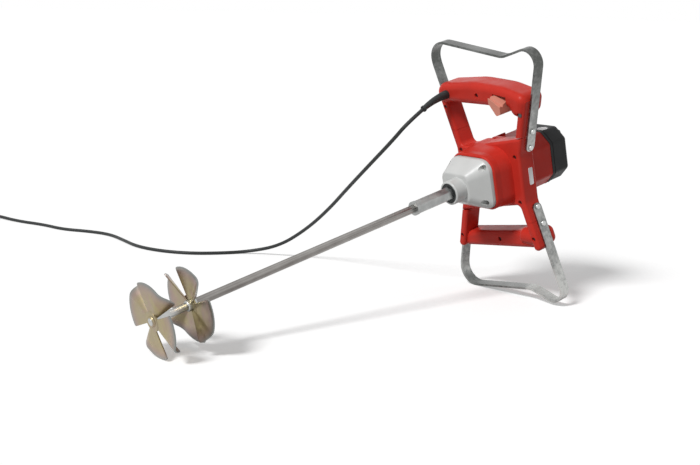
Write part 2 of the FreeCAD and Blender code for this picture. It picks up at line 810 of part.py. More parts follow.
collar_edges = [edge for edge in case_form.Edges if abs(edge.BoundBox.XMax - COLLAR) < 1e-6
                and edge.BoundBox.YLength > number("collar_diameter") - 1]
shaped("gear_case", case_form.makeChamfer(number("collar_chamfer"), collar_edges))

# Screws of the gear case, through the gear plate into the body
screw_end = PLATE_REAR + number("4*case_screw_size")
screws = []
for right, up in screw_spots:
    head = rod(head_seat - number("case_screw_size"), head_seat, right, up, head_radius)
    screws.append(head.fuse(rod(head_seat, screw_end, right, up, screw_radius)))
shaped("gear_case_screws", Part.makeCompound(screws))
screw_holes = [rod(LIP - 10, screw_end, right, up, screw_radius + seat) for right, up in screw_spots]
body_shell = body_shell.cut(screw_holes)

# Plates inside the gear case: one behind each gear stage
mid_hole = rod(number(mid_front) - 1, number(mid_rear) + 1, 0, 0, number(tail) + 3 + seat)
lay_hole = rod(number(mid_front) - 1, number(mid_rear) + 1, -second_centres, 0, lay_gear_seat + 0.5)
shaped("intermediate_plate", prism(first_room, number(mid_front), number(mid_rear)).cut([mid_hole, lay_hole]))
motor_bearing = number("0.5*armature_bearing_diameter")
bearing_seat = number("lip_front+plate_thickness-plate_seat-armature_bearing_width")
plate_cuts = [rod(PLATE_FRONT - 1, PLATE_FRONT + number("layshaft_bearing_width"), -second_centres, 0,
                  number("0.5*layshaft_bearing_diameter+seat_clearance")),
              rod(bearing_seat, PLATE_REAR + 1, MOTOR_RIGHT, MOTOR_UP, motor_bearing + seat),
              rod(PLATE_FRONT - 1, PLATE_REAR, MOTOR_RIGHT, MOTOR_UP, first * (first_pinion / 2 + 2))]
shaped("gear_plate", clean(prism(plate_outline, PLATE_FRONT, PLATE_REAR).cut(plate_cuts + screw_holes)))

# Armature, from the pinion in the gear case to the rear bearing
fan_front = "lip_front+plate_thickness-plate_seat+fan_gap"
fan_rear = fan_front + "+fan_width"
stack_front = fan_rear + "+core_gap"
stack_rear = stack_front + "+core_length"
commutator_front = stack_rear + "+winding_length+commutator_gap"
commutator_rear = commutator_front + "+commutator_length"
rear_bearing_front = "motor_rear-13"
rear_bearing_rear = rear_bearing_front + "+armature_bearing_width"
shaft_radius = number("0.5*armature_shaft")
end_radius = number("0.5*armature_journal")
armature = gear(first, first_pinion, 0.5, number(first_front), number(first_rear), mesh_angle)
armature = armature.fuse([
    rod(number(first_rear), PLATE_REAR + 0.3, 0, 0, end_radius),
    rod(PLATE_REAR + 0.3, number(rear_bearing_front) - 0.3, 0, 0, shaft_radius),
    rod(number(rear_bearing_front) - 0.3, number(rear_bearing_rear) - 0.3, 0, 0, end_radius)])
shaped("armature_shaft", armature.Solids[0], motor_axis)
bore = "0.5*armature_shaft+seat_clearance"
winding = "0.5*winding_diameter"
core_radius = "0.5*core_diameter"
turned("armature_core", [
    (stack_front + "-winding_length", bore), (stack_rear + "+winding_length", bore),
    (stack_rear + "+winding_length", winding), (stack_rear, winding), (stack_rear, core_radius),
    (stack_front, core_radius), (stack_front, winding), (stack_front + "-winding_length", winding)], motor_axis)
ring("commutator", commutator_front, commutator_rear, bore, "0.5*commutator_diameter", motor_axis)
ring("armature_front_bearing", "lip_front+plate_thickness-plate_seat-armature_bearing_width",
     "lip_front+plate_thickness-plate_seat", "0.5*armature_journal+running_clearance",
     "0.5*armature_bearing_diameter", motor_axis)
ring("armature_rear_bearing", rear_bearing_front, rear_bearing_rear, "0.5*armature_journal+running_clearance",
     "0.5*armature_bearing_diameter", motor_axis)
ring("stator", stack_front, stack_rear, core_radius + "+air_gap", "0.5*stator_diameter", motor_axis)

# Cooling fan: a disc with radial blades
fan_radius = number("0.5*fan_diameter")
fan_start = number(fan_front)
fan_end = number(fan_rear)
hub_radius = shaft_radius + 4
fan = rod(fan_start, fan_end, 0, 0, hub_radius).fuse(rod(fan_start, fan_start + 2, 0, 0, fan_radius))
vanes = []
for index in range(int(number("fan_blades"))):
    vane = block(fan_start + 1, fan_end, -0.8, 0.8, hub_radius - 1, fan_radius - 0.5)
    vane.rotate(Vec(), Vec(1, 0, 0), 360 * index / number("fan_blades"))
    vanes.append(vane)
fan = fan.fuse(vanes).cut(rod(fan_start - 1, fan_end + 1, 0, 0, shaft_radius + seat))
shaped("cooling_fan", clean(fan), motor_axis)


# Rounded octagon of the motor housing, shrunk by a margin
def octagon(margin=0.0):
    half = number("motor_half_width") - margin
    high = number("motor_top") - margin
    low = -number("motor_bottom") + margin
    cut_corner = number("motor_chamfer") - 0.6 * margin
    turn = number("motor_corner")
    upper = [(-half, high - cut_corner), (-half + cut_corner, high), (half - cut_corner, high), (half, high - cut_corner)]
    lower = [(half, low + cut_corner), (half - cut_corner, low), (-half + cut_corner, low), (-half, low + cut_corner)]
    return [(right, up, turn) for right, up in upper + lower]


MOTOR_REAR = number("motor_rear")
CAP_REAR = number("motor_rear+cap_length")
wall = number("motor_wall")
tie_reach = number("0.5*stator_diameter+6")
tie_spots = [(MOTOR_RIGHT + tie_reach * math.cos(math.radians(angle)), MOTOR_UP + tie_reach * math.sin(math.radians(angle)))
             for angle in (45, 135, 225, 315)]
tie_radius = number("0.5*shell_screw_size")
web_front = number(rear_bearing_front) - 1
boss_rear = number(rear_bearing_rear) + 3
block_rear = REAR + number("step_length")
step_top = number("motor_top+step_height")
step_half = number("0.5*step_width")
step_outline = [(-step_half, step_top, 6), (step_half, step_top, 6), (step_half, number("motor_top") - 10, 0),
                (-step_half, number("motor_top") - 10, 0)]
motor_form = prism(octagon(), REAR, MOTOR_REAR).fuse(prism(step_outline, REAR, block_rear))
motor_form = motor_form.cut(prism(octagon(wall), REAR - 1, MOTOR_REAR + 1))
motor_ribs = [prism(octagon(wall - 0.5), web_front, web_front + 4),
              rod(web_front, boss_rear, MOTOR_RIGHT, MOTOR_UP, motor_bearing + 3)]
motor_ribs += [rod(REAR, MOTOR_REAR, right, up, tie_radius + 2.2) for right, up in tie_spots]
motor_form = motor_form.fuse([rib.common(prism(octagon(), REAR, MOTOR_REAR)) for rib in motor_ribs])
motor_cuts = [rod(web_front - 1, number(rear_bearing_rear), MOTOR_RIGHT, MOTOR_UP, motor_bearing + seat)]
motor_cuts += [rod(REAR - 1, MOTOR_REAR + 1, right, up, tie_radius + seat) for right, up in tie_spots]
air_reach = motor_bearing + 15
for angle in (0, 90, 180, 270):
    swing = math.radians(angle)
    motor_cuts.append(rod(web_front - 1, web_front + 5, MOTOR_RIGHT + air_reach * math.cos(swing),
                          MOTOR_UP + air_reach * math.sin(swing), 9))
recess = block(REAR + 8, block_rear + 1, -step_half + 7, step_half - 7, step_top - 4, step_top + 1)
shaped("motor_housing", clean(motor_form.cut(motor_cuts + [recess])))

# Black end cap with air slots in its hidden rear face, held by long tie screws
cap_form = soften(prism(octagon(0.5), MOTOR_REAR, CAP_REAR), number("cap_edge_round"), (CAP_REAR,))
cap_room = soften(prism(octagon(wall + 0.5), MOTOR_REAR - 1, CAP_REAR - wall), number("cap_edge_round"), (CAP_REAR - wall,))
cap_form = cap_form.cut(cap_room)
cap_posts = [rod(MOTOR_REAR, CAP_REAR - 1, right, up, tie_radius + 3).common(prism(octagon(2), MOTOR_REAR, CAP_REAR))
             for right, up in tie_spots]
cap_form = cap_form.fuse(cap_posts)
post_seat = MOTOR_REAR + 8
cap_cuts = []
for right, up in tie_spots:
    cap_cuts.append(rod(post_seat, CAP_REAR + 1, right, up, tie_radius + 1.8))
    cap_cuts.append(rod(MOTOR_REAR - 1, CAP_REAR, right, up, tie_radius + seat))
slot_count = int(number("cap_slots"))
for index in range(slot_count):
    height = MOTOR_UP + (index - (slot_count - 1) / 2) * 8
    cap_cuts.append(block(CAP_REAR - wall - 2, CAP_REAR + 1, -22, 22, height - 1.8, height + 1.8))
shaped("end_cap", clean(cap_form.cut(cap_cuts)))
ties = []
tie_front = REAR - WALL + 0.5
for right, up in tie_spots:
    head = rod(post_seat, post_seat + 3, right, up, tie_radius + 1.5)
    ties.append(rod(tie_front, post_seat, right, up, tie_radius).fuse(head))
shaped("end_cap_screws", Part.makeCompound(ties))
body_shell = body_shell.cut([rod(tie_front, REAR + 1, right, up, tie_radius + seat) for right, up in tie_spots])

# Brush gear beside the commutator
brush_middle = (number(commutator_front) + number(commutator_rear)) / 2
brush_half = number("0.5*brush_width")
brush_start = number("0.5*commutator_diameter") + 0.3
brush_end = brush_start + number("brush_length")
holder_start = brush_start + 2
for name, side in (("left", -1), ("right", 1)):
    wall_reach = number("motor_half_width-motor_wall") - side * MOTOR_RIGHT
    along = sorted((side * brush_start, side * brush_end))
    carbon = block(brush_middle - 5, brush_middle + 5, along[0], along[1], -brush_half, brush_half)
    shaped("carbon_brush_" + name, carbon, motor_axis)
    along = sorted((side * holder_start, side * wall_reach))
    box = block(brush_middle - 7, brush_middle + 7, along[0], along[1], -brush_half - 2, brush_half + 2)
    along = sorted((side * (holder_start - 1), side * (wall_reach - 2)))
    hollow = block(brush_middle - 5, brush_middle + 5, along[0], along[1], -brush_half, brush_half)
    shaped("brush_holder_" + name, box.cut(hollow), motor_axis)
# Trigger: a wedge that stands out of the lower front edge of the grip, hinged at its left end
ROOM_FRONT = GRIP_FRONT + GRIP_WALL
ROOM_REAR = GRIP_REAR - GRIP_WALL
slack = number("trigger_clearance")
trigger_left = number("trigger_inner")
trigger_right = number("trigger_outer")
trigger_span = trigger_right - trigger_left
trigger_face = GRIP_FRONT - number("trigger_ahead")
trigger_rear = trigger_face + number("trigger_depth")
trigger_top = under + number("trigger_top_rise")
trigger_low = under - number("trigger_proud")
trigger_round = number("trigger_round")
trigger_outline = [
    (trigger_left, trigger_top, trigger_round),
    (trigger_right, trigger_top - number("trigger_slope") * trigger_span, trigger_round),
    (trigger_right, trigger_low + 3.5, 2 * trigger_round),
    (trigger_left + 0.62 * trigger_span, trigger_low, 2 * trigger_round),
    (trigger_left, trigger_top - 12, trigger_round),
]
trigger_form = prism(trigger_outline, trigger_face, trigger_rear)

# Its upper front is sloped to the right, with a groove along the slope
facet_spot = spot(trigger_face, trigger_left + trigger_span / 2, trigger_top - 10)
facet_normal = Vec(-0.33, -0.55, 1)
facet_turn = FreeCAD.Placement(facet_spot, FreeCAD.Rotation(Vec(0, 0, 1), facet_normal))
facet_size = number("2*trigger_depth")
facet = Part.makeBox(2 * facet_size, 2 * facet_size, facet_size, Vec(-facet_size, -facet_size, 0))
facet.Placement = facet_turn
groove_half = number("0.5*trigger_groove")
groove = block(-groove_half, groove_half, -trigger_span, trigger_span, -groove_half, groove_half)
groove.rotate(Vec(), Vec(0, 1, 0), 45)
groove.translate(Vec(groove_half + 3, 0, 0.3 * groove_half))
groove.Placement = facet_turn.multiply(groove.Placement)
trigger_form = trigger_form.cut(facet).cut(groove)

# A tab inside the grip carries the hinge pin, which ends in the switch
tab = number("trigger_tab")
tab_front = ROOM_FRONT + 1
tab_rear = trigger_rear - 1
pin_radius = number("0.5*trigger_pin")
pin_right = trigger_left - tab / 2
pin_up = trigger_top - tab / 2 - 1
tab_form = rod(tab_front, tab_rear, pin_right, pin_up, tab / 2)
tab_form = tab_form.fuse(block(tab_front, tab_rear, pin_right, trigger_left + 4, pin_up - tab / 2, pin_up + tab / 2))
spring_station = (ROOM_FRONT + trigger_rear) / 2
spring_right = trigger_right - 6
spring_low = trigger_top - 12
spring_radius = number("0.5*spring_diameter")
pocket = Part.makeCylinder(spring_radius + 1.2, 30, spot(spring_station, spring_right, spring_low))
trigger_form = trigger_form.fuse(tab_form).cut(rod(tab_front - 1, tab_rear + 1, pin_right, pin_up, pin_radius + 0.1))
shaped("trigger", clean(trigger_form.cut(pocket)))
switch_front = trigger_rear + 3 * slack
pin_front = ROOM_FRONT - 3.5
pin_rear = switch_front + 4
shaped("trigger_pin", rod(pin_front, pin_rear, pin_right, pin_up, pin_radius))

# Switch behind the trigger, and the spring that pushes the trigger down from a post
switch_form = block(switch_front, ROOM_REAR, pin_right - tab / 2 - 2, trigger_right + 2, under + WALL, trigger_top + 5)
shaped("switch_body", switch_form.cut(rod(switch_front - 1, pin_rear, pin_right, pin_up, pin_radius + seat)))
wire = number("spring_wire")
post_low = trigger_top + 3
post_half = number("0.5*spring_post")
post_top = number("grip_under+grip_height") - 10
spring_post = block(ROOM_FRONT - 1, trigger_rear, spring_right - post_half, spring_right + post_half, post_low, post_top)
spring_rise = post_low - spring_low
spring_foot = spot(spring_station, spring_right, spring_low)
spring_form = Part.makeCylinder(spring_radius + wire / 2, spring_rise, spring_foot)
spring_form = spring_form.cut(Part.makeCylinder(spring_radius - wire / 2, spring_rise, spring_foot))
shaped("trigger_spring", spring_form)

# Opening of the top handle for the trigger, with room for its swing
swing_room = number("trigger_swing") * slack
opening_left = trigger_left - 3 * slack
opening_right = trigger_right + swing_room
opening_low = trigger_low - 2
opening_outline = [(opening_left, trigger_top + 3 * slack, 0), (opening_right, trigger_top - 2, 0),
                   (opening_right, opening_low, 0), (opening_left, opening_low, 0)]
opening = prism(opening_outline, trigger_face, ROOM_FRONT + 0.5)
opening = opening.fuse(block(ROOM_FRONT, trigger_rear + 2 * slack, opening_left, opening_right, opening_low, under + WALL + 1))
top_cuts = [opening, rod(pin_front, ROOM_FRONT + 1, pin_right, pin_up, pin_radius + seat)]

# Lock button through the hidden rear face of the top grip
button_right = trigger_left - 22
button_up = under + 20
button_radius = number("0.5*button_diameter")
button_end = GRIP_REAR + number("button_travel") + 1.5
button_form = rod(ROOM_REAR - 3, button_end, button_right, button_up, button_radius)
button_form = button_form.fuse(rod(ROOM_REAR - 3, ROOM_REAR - 0.3, button_right, button_up, button_radius + 2))
shaped("lock_button", clean(button_form))
top_cuts.append(rod(ROOM_REAR - 0.5, GRIP_REAR + 1, button_right, button_up, button_radius + 0.35))

# Cable boot out of the front of the grip's left end, drooping with the cable
boot_right = -number("boot_across")
boot_up = under + number("boot_rise")
boot_length = number("boot_length")
boot_droop = number("boot_droop")
boot_start = number("0.5*boot_diameter")
boot_finish = number("0.5*boot_end")


# Centre and direction of the boot's line at a share of its length
def boot_line(share):
    centre = spot(GRIP_FRONT - boot_length * share, boot_right, boot_up - boot_droop * share ** 2)
    return centre, Vec(-boot_length, 0, -2 * boot_droop * share).normalize()


boot_rings = []
for step in range(5):
    centre, heading = boot_line(step / 4)
    radius = boot_start + (boot_finish - boot_start) * step / 4
    boot_rings.append(Part.Wire(Part.makeCircle(radius, centre, heading)))
boot_tip, boot_heading = boot_line(1)
bead_length = number("boot_bead_length")
bead = Part.makeCylinder(number("0.5*boot_bead"), bead_length, boot_tip - boot_heading * 1.5, boot_heading)
bead = bead.makeFillet(1.5, [edge for edge in bead.Edges if edge.Length > bead_length + 1])
boot_form = Part.makeLoft(boot_rings, True, False).fuse([
    bead, rod(GRIP_FRONT, ROOM_FRONT, boot_right, boot_up, boot_start),
    rod(ROOM_FRONT, ROOM_FRONT + 3, boot_right, boot_up, boot_start + 1.5)])
shaped("cable_boot", clean(boot_form))
cable_exit = boot_tip + boot_heading * (bead_length - 1.5)
top_cuts.append(rod(GRIP_FRONT - 5, ROOM_FRONT + 0.5, boot_right, boot_up, boot_start + seat))

# Cable clamp in the rear shell, and the end of the cable that it holds
lead_radius = number("0.5*cord_diameter")
clamp_half = lead_radius + 5
clamp_form = block(ROOM_REAR - 12, ROOM_REAR, boot_right - clamp_half, boot_right + clamp_half,
                   boot_up - 8, boot_up + 8)
clamp_form = clamp_form.common(room(top_grip, GRIP_FRONT, GRIP_REAR, GRIP_WALL))
lead_end = ROOM_REAR - 5
clamp_hole = rod(ROOM_REAR - 13, lead_end, boot_right, boot_up, lead_radius + seat)
shaped("cable_clamp", clean(clamp_form.cut(clamp_hole)))
shaped("inner_cable", rod(ROOM_FRONT + 3, lead_end, boot_right, boot_up, lead_radius))
top_shell = top_shell.fuse(spring_post)
for one in top_cuts:
    top_shell = top_shell.cut(one)

# Corners of a bent strip's edge, off to one side of its middle line
def side_corners(corners, shift):
    ends = len(corners) - 1
    moved = []
    for index, (right, up, radius) in enumerate(corners):
        before = corners[max(index - 1, 0)]
        after = corners[min(index + 1, ends)]
        come = Vec(right - before[0], up - before[1], 0)
        leave = Vec(after[0] - right, after[1] - up, 0)
        come = (come if index else leave).normalize()
        leave = (leave if index < ends else come).normalize()
        normal_in = Vec(-come.y, come.x, 0)
        normal_out = Vec(-leave.y, leave.x, 0)
        push = (normal_in + normal_out) * (shift / (1 + normal_in.dot(normal_out)))
        bend = come.cross(leave).z
        grown = radius - shift * math.copysign(1, bend) if radius else 0
        moved.append((right + push.x, up + push.y, grown))
    return moved


# Steel bow: one bent strip, bolted twice to each side wall; side 1 above the body, -1 below it
splay = number("splay")
slant = math.sqrt(1 + splay ** 2)
strip = number("bow_thickness")
bolt_heights = [number("bolt_height"), number("bolt_height+bolt_spacing")]


# Middle line of the strip along a side wall
def bow_reach(height):
    return wall_out(height) + strip / 2 * slant


left_bend_height = number("bow_left_height-bow_left_drop")
bow_line = [
    (bow_reach(number("bow_end_height")), number("bow_end_height"), 0),
    (bow_reach(number("bow_corner_height")), number("bow_corner_height"), number("bow_corner_round")),
    (number("bow_dip_right"), number("bow_dip_height"), number("bow_dip_round")),
    (number("bow_left_right"), number("bow_left_height"), number("bow_left_round")),
    (-bow_reach(left_bend_height), left_bend_height, number("bow_left_bend")),
    (-bow_reach(number("bow_end_height")), number("bow_end_height"), 0),
]
bow_half = number("0.5*bow_width")
strip_outline = side_corners(bow_line, strip / 2) + side_corners(bow_line, -strip / 2)[::-1]
bow_form = prism(strip_outline, -bow_half, bow_half)
end_edges = [edge for edge in bow_form.Edges if abs(edge.Length - strip) < 0.01
             and abs(edge.CenterOfMass.x) > bow_half - 0.01]
bow_form = bow_form.makeFillet(number("bow_end_round"), end_edges)


# A round or six-sided pin along a bolt, from one depth to another, outwards from the wall
def bolt_pin(side, level, height, inner, outer, radius, flats=False):
    outward = spot(0, side / slant, -level * splay / slant)
    start = spot(0, side * wall_out(height), level * height) + outward * inner
    if not flats:
        return Part.makeCylinder(radius, outer - inner, start, outward)
    turn = FreeCAD.Placement(start, FreeCAD.Rotation(Vec(0, 0, 1), outward))
    ring_spots = [Vec(radius * math.cos(math.radians(60 * k)), radius * math.sin(math.radians(60 * k)), 0) for k in range(7)]
    nut = Part.Face(Part.makePolygon(ring_spots)).extrude(Vec(0, 0, outer - inner))
    nut.Placement = turn
    return nut


bolt_places = [(side, level, height) for side in (1, -1) for level in (1, -1) for height in bolt_heights]
bolt_radius = number("0.5*bolt_size")
nut_depth = WALL + number("nut_height")
bolt_holes = [bolt_pin(*place, -nut_depth - 1, strip + 1, bolt_radius + 0.1) for place in bolt_places]
shaped("top_bow", clean(bow_form.cut(bolt_holes)))
low_bow = bow_form.mirror(Vec(), Vec(0, 0, 1))
bottom_bow = shaped("bottom_bow", clean(low_bow.cut(bolt_holes)))
bolts = []
nuts = []
nut_rooms = []
nut_radius = number("0.5*bolt_head") / math.cos(math.pi / 6)
for place in bolt_places:
    shank = bolt_pin(*place, -nut_depth, strip, bolt_radius)
    head = bolt_pin(*place, strip, strip + number("bolt_head_height"), number("0.5*bolt_head"))
    rim = max((edge for edge in head.Edges if edge.Closed), key=lambda edge: abs(edge.CenterOfMass.y))
    bolts.append(shank.fuse(head.makeFillet(number("bolt_dome"), [rim])))
    nut = bolt_pin(*place, -nut_depth, -WALL, nut_radius, True)
    nut_rooms.append(bolt_pin(*place, -nut_depth - 1, -WALL, nut_radius + 0.2, True))
    nuts.append(nut.cut(bolt_pin(*place, -nut_depth - 1, 0, bolt_radius)))
shaped("bow_bolts", Part.makeCompound(bolts))
shaped("bow_nuts", Part.makeCompound(nuts))

# The two halves of each housing, and the screws that join them
for name, shell in (("body", body_shell), ("top_handle", top_shell), ("bottom_handle", low_shell)):
    for label, front, rear in ((name + "_front", lip_edge - 1, SPLIT), (name + "_rear", SPLIT, GRIP_REAR + 1)):
        half = half_of(shell, front, rear)
        for hole in bolt_holes + nut_rooms:
            half = half.cut(hole).Solids[0]
        shaped(label, half)
housing_screws = []
for right, up, front in top_screws + low_screws + waist_screws:
    sink = front + number("shell_screw_sink")
    head = rod(sink - 3, sink, right, up, number("0.5*shell_screw_head"))
    shank = rod(sink, SPLIT + number("3*shell_screw_size"), right, up, number("0.5*shell_screw_size"))
    housing_screws.append(head.fuse(shank))
shaped("housing_screws", Part.makeCompound(housing_screws))

doc.recompute()


# Points on the surface of a piece, where it was built
def surface_points(item, offset):
    points = item.Shape.tessellate(0.3)[0]
    return [point + offset for point in points]


# Lowest point when the machine is tipped nose down by an angle
def lowest(points, tilt):
    return min(point.x * math.sin(tilt) + point.z * math.cos(tilt) for point in points)


# Rest: tipped until the front propeller and the lower bow both stand on the floor
nose_points = surface_points(front_propeller, Vec())
bow_points = surface_points(bottom_bow, Vec())
shallow = 0.0
steep = math.radians(40)
for step in range(40):
    tilt = (shallow + steep) / 2
    if lowest(nose_points, tilt) > lowest(bow_points, tilt):
        shallow = tilt
    else:
        steep = tilt
tip_over = FreeCAD.Rotation(Vec(0, 1, 0), -math.degrees(tilt))
tipped = [tip_over.multVec(point) for item, offset in pieces for point in surface_points(item, offset)]
middle_x = (min(point.x for point in tipped) + max(point.x for point in tipped)) / 2
middle_y = (min(point.y for point in tipped) + max(point.y for point in tipped)) / 2
floor_z = min(point.z for point in tipped)
rest = FreeCAD.Placement(Vec(-middle_x, -middle_y, -floor_z), tip_over)
for item, offset in pieces:
    item.Placement = rest.multiply(FreeCAD.Placement(offset, FreeCAD.Rotation())).multiply(item.Placement)
print("tilt %.2f degrees, spindle at the bow plane %s" % (math.degrees(tilt), rest.Base))


# Straight runs joined by tangent arcs through a chosen route
def route_wire(route, radii):
    edges = []
    last = route[0]
    for before, here, after in zip(route, route[1:], route[2:]):
        back = before - here
        ahead = after - here
        reach = 0.45 * min(back.Length, ahead.Length)
        back.normalize()
        ahead.normalize()
        half = back.getAngle(ahead) / 2
        radius = reach * math.tan(half)
        radii.append(radius)
        middle = (back + ahead).normalize()
        start = here + back * reach
        end = here + ahead * reach
        top = here + middle * (radius / math.sin(half) - radius)
        edges.append(Part.LineSegment(last, start).toShape())
        edges.append(Part.Arc(start, top, end).toShape())
        last = end
    edges.append(Part.LineSegment(last, route[-1]).toShape())
    return Part.Wire(edges)


# A round tube along a wire that starts in a known direction
def tube(wire, start, heading, radius):
    circle = Part.Wire(Part.makeCircle(radius, start, heading))
    return wire.makePipeShell([circle], True, False)


cord_radius = number("0.5*cord_diameter")
FLOOR = cord_radius
exit_spot = rest.multVec(cable_exit)
exit_heading = rest.Rotation.multVec(boot_heading)
print("cable leaves the boot at", exit_spot, "towards", exit_heading)

# The cable's way from the boot, down behind the machine and along the floor to the coil
ROUTE = [
    (140, 108, 290),
    (148, 184, 234),
    (168, 268, 180),
    (190, 354, 124),
    (201, 440, 70),
    (194, 522, 23),
    (160, 588, FLOOR),
    (98, 608, FLOOR),
    (46, 640, FLOOR),
    (8, 696, FLOOR),
    (-8, 766, FLOOR),
    (3, 842, FLOOR),
    (12, 920, FLOOR),
    (-10, 980, FLOOR),
    (-48, 1036, FLOOR),
    (-58, 1112, FLOOR),
    (-88, 1190, FLOOR),
]
coil_middle = Vec(-165, 1321, 0)
coil_heading = Vec(-0.25, 0.968, 0).normalize()
coil_side = Vec(coil_heading.y, -coil_heading.x, 0)
coil_outer = number("0.5*coil_diameter+0.25*coil_half_turns*coil_pitch")
coil_start = coil_middle + coil_side * coil_outer + Vec(0, 0, number("0.5*cord_diameter+coil_lift"))
join = coil_start - coil_heading * number("cord_diameter")
route = [exit_spot, exit_spot + exit_heading * 45] + [Vec(*point) for point in ROUTE] + [join - coil_heading * 55, join]
radii = []
cable_wire = route_wire(route, radii)
cable_form = tube(cable_wire, exit_spot, exit_heading, cord_radius)
shaped("power_cable", cable_form)
print("cable bend radii", [round(radius) for radius in radii])
print("cable length %.0f, volume against section times length %.4f"
      % (cable_wire.Length, cable_form.Volume / (math.pi * cord_radius ** 2 * cable_wire.Length)))


# Half circle to the left of a heading
def half_turn(start, heading, radius):
    inward = Vec(-heading.y, heading.x, 0)
    top = start + inward * radius + heading * radius
    return Part.Arc(start, top, start + inward * (2 * radius)).toShape(), start + inward * (2 * radius)


# Quarter of the climb between two layers, along a level or a rising start
def quarter_arc(start, heading, end):
    chord = end - start
    across = chord - heading * chord.dot(heading)
    radius = chord.Length ** 2 / (2 * across.Length)
    centre = start + across.normalize() * radius
    out = ((start - centre) + (end - centre)).normalize()
    return Part.Arc(start, centre + out * radius, end).toShape()


# Coil: half turns that spiral in on the floor, climb, and spiral out on top
pitch = number("coil_pitch")
layer = number("cord_diameter+coil_layer_gap")
half_turns = int(number("coil_half_turns"))
spot_now = coil_start
heading = coil_heading
edges = [Part.LineSegment(join, coil_start).toShape()]
radius = coil_outer
for index in range(half_turns):
    edge, spot_now = half_turn(spot_now, heading, radius)
    edges.append(edge)
    heading = heading * -1
    radius -= pitch / 2
inward = Vec(-heading.y, heading.x, 0)
climb_top = spot_now + inward * radius + heading * math.hypot(radius, layer / 2) + Vec(0, 0, layer / 2)
climb_end = spot_now + inward * (2 * radius) + Vec(0, 0, layer)
edges.append(quarter_arc(spot_now, heading, climb_top))
edges.append(quarter_arc(climb_end, heading, climb_top))
spot_now = climb_end
heading = heading * -1
for index in range(half_turns):
    radius += pitch / 2
    edge, spot_now = half_turn(spot_now, heading, radius)
    edges.append(edge)
    heading = heading * -1
coil_end = spot_now + heading * number("coil_tail")
edges.append(Part.LineSegment(spot_now, coil_end).toShape())
coil_wire = Part.Wire(Part.__sortEdges__(edges))
coil_form = tube(coil_wire, join, coil_heading, cord_radius)
shaped("cable_coil", coil_form)
samples = coil_wire.discretize(Distance=2.0)
skip = int(number("3*cord_diameter") / 2.0)
gap = min(first_point.distanceToPoint(other) for index, first_point in enumerate(samples)
          for other in samples[index + skip:]) - number("cord_diameter")
print("coil length %.0f, least gap to itself %.2f, volume ratio %.4f"
      % (coil_wire.Length, gap, coil_form.Volume / (math.pi * cord_radius ** 2 * coil_wire.Length)))

# Tie round the turns of the coil, on the side across from the cable
tie_across = coil_heading
beside = [point for point in samples if abs((point - coil_middle).dot(coil_side)) < 6 and (point - coil_middle).dot(tie_across) > 0]
tie_near = min((point - coil_middle).dot(tie_across) for point in beside) - cord_radius - 0.3
tie_far = max((point - coil_middle).dot(tie_across) for point in beside) + cord_radius + 0.3
tie_low = number("coil_lift") - 0.3
tie_high = number("coil_lift+2*cord_diameter+coil_layer_gap") + 0.3
tie_sheet = number("tie_thickness")
tie_half = number("0.5*tie_width")
tie_turn = FreeCAD.Placement(coil_middle, FreeCAD.Rotation(Vec(1, 0, 0), tie_across))
tie_form = Part.makeBox(tie_far - tie_near + 2 * tie_sheet, 2 * tie_half, tie_high - tie_low + 2 * tie_sheet,
                        Vec(tie_near - tie_sheet, -tie_half, tie_low - tie_sheet))
tie_form = tie_form.cut(Part.makeBox(tie_far - tie_near, 4 * tie_half, tie_high - tie_low, Vec(tie_near, -2 * tie_half, tie_low)))
tie_form.Placement = tie_turn.multiply(tie_form.Placement)
shaped("cable_tie", tie_form)

# Plug on the cable's end: a ribbed sleeve, a flat body and two round pins
sleeve_length = number("plug_sleeve")
body_length = number("plug_length")
plug_half = number("0.5*plug_width")
plug_thick = coil_end.z
plug_turn = FreeCAD.Placement(Vec(coil_end.x, coil_end.y, coil_end.z), FreeCAD.Rotation(Vec(1, 0, 0), heading))
sleeve_form = Part.makeCone(cord_radius + 1.5, cord_radius + 3, sleeve_length, Vec(), Vec(1, 0, 0))
plug_box = Part.makeBox(body_length, 2 * plug_half, 2 * plug_thick, Vec(sleeve_length, -plug_half, -plug_thick))
long_edges = [edge for edge in plug_box.Edges if edge.BoundBox.XLength > body_length - 1]
plug_box = plug_box.makeFillet(number("plug_round"), long_edges)
plug_form = sleeve_form.fuse(plug_box)
plug_form.Placement = plug_turn
shaped("plug_body", clean(plug_form))
pins = []
for side in (1, -1):
    pin = Part.makeCylinder(number("0.5*pin_diameter"), number("pin_length"),
                            Vec(sleeve_length + body_length, side * number("0.5*pin_spacing"), 0), Vec(1, 0, 0))
    pin.Placement = plug_turn.multiply(pin.Placement)
    pins.append(pin)
shaped("plug_pins", Part.makeCompound(pins))
print("cable and coil together %.0f" % (cable_wire.Length + coil_wire.Length))

# Every piece has to be sound before its file is written
doc.recompute()
for item, offset in pieces:
    if set(item.State) & {"Invalid", "Error"}:
        raise RuntimeError("%s did not build: %s" % (item.Label, item.State))
    if item.Shape.isNull() or not item.Shape.isValid():
        raise RuntimeError("%s has no sound shape" % item.Label)
os.makedirs("parts", exist_ok=True)
for item, offset in pieces:
    item.Shape.exportStep("parts/%s.step" % item.Label)
print("%d pieces written" % len(pieces))
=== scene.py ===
import bpy
import json
import math
from mathutils import Matrix, Vector


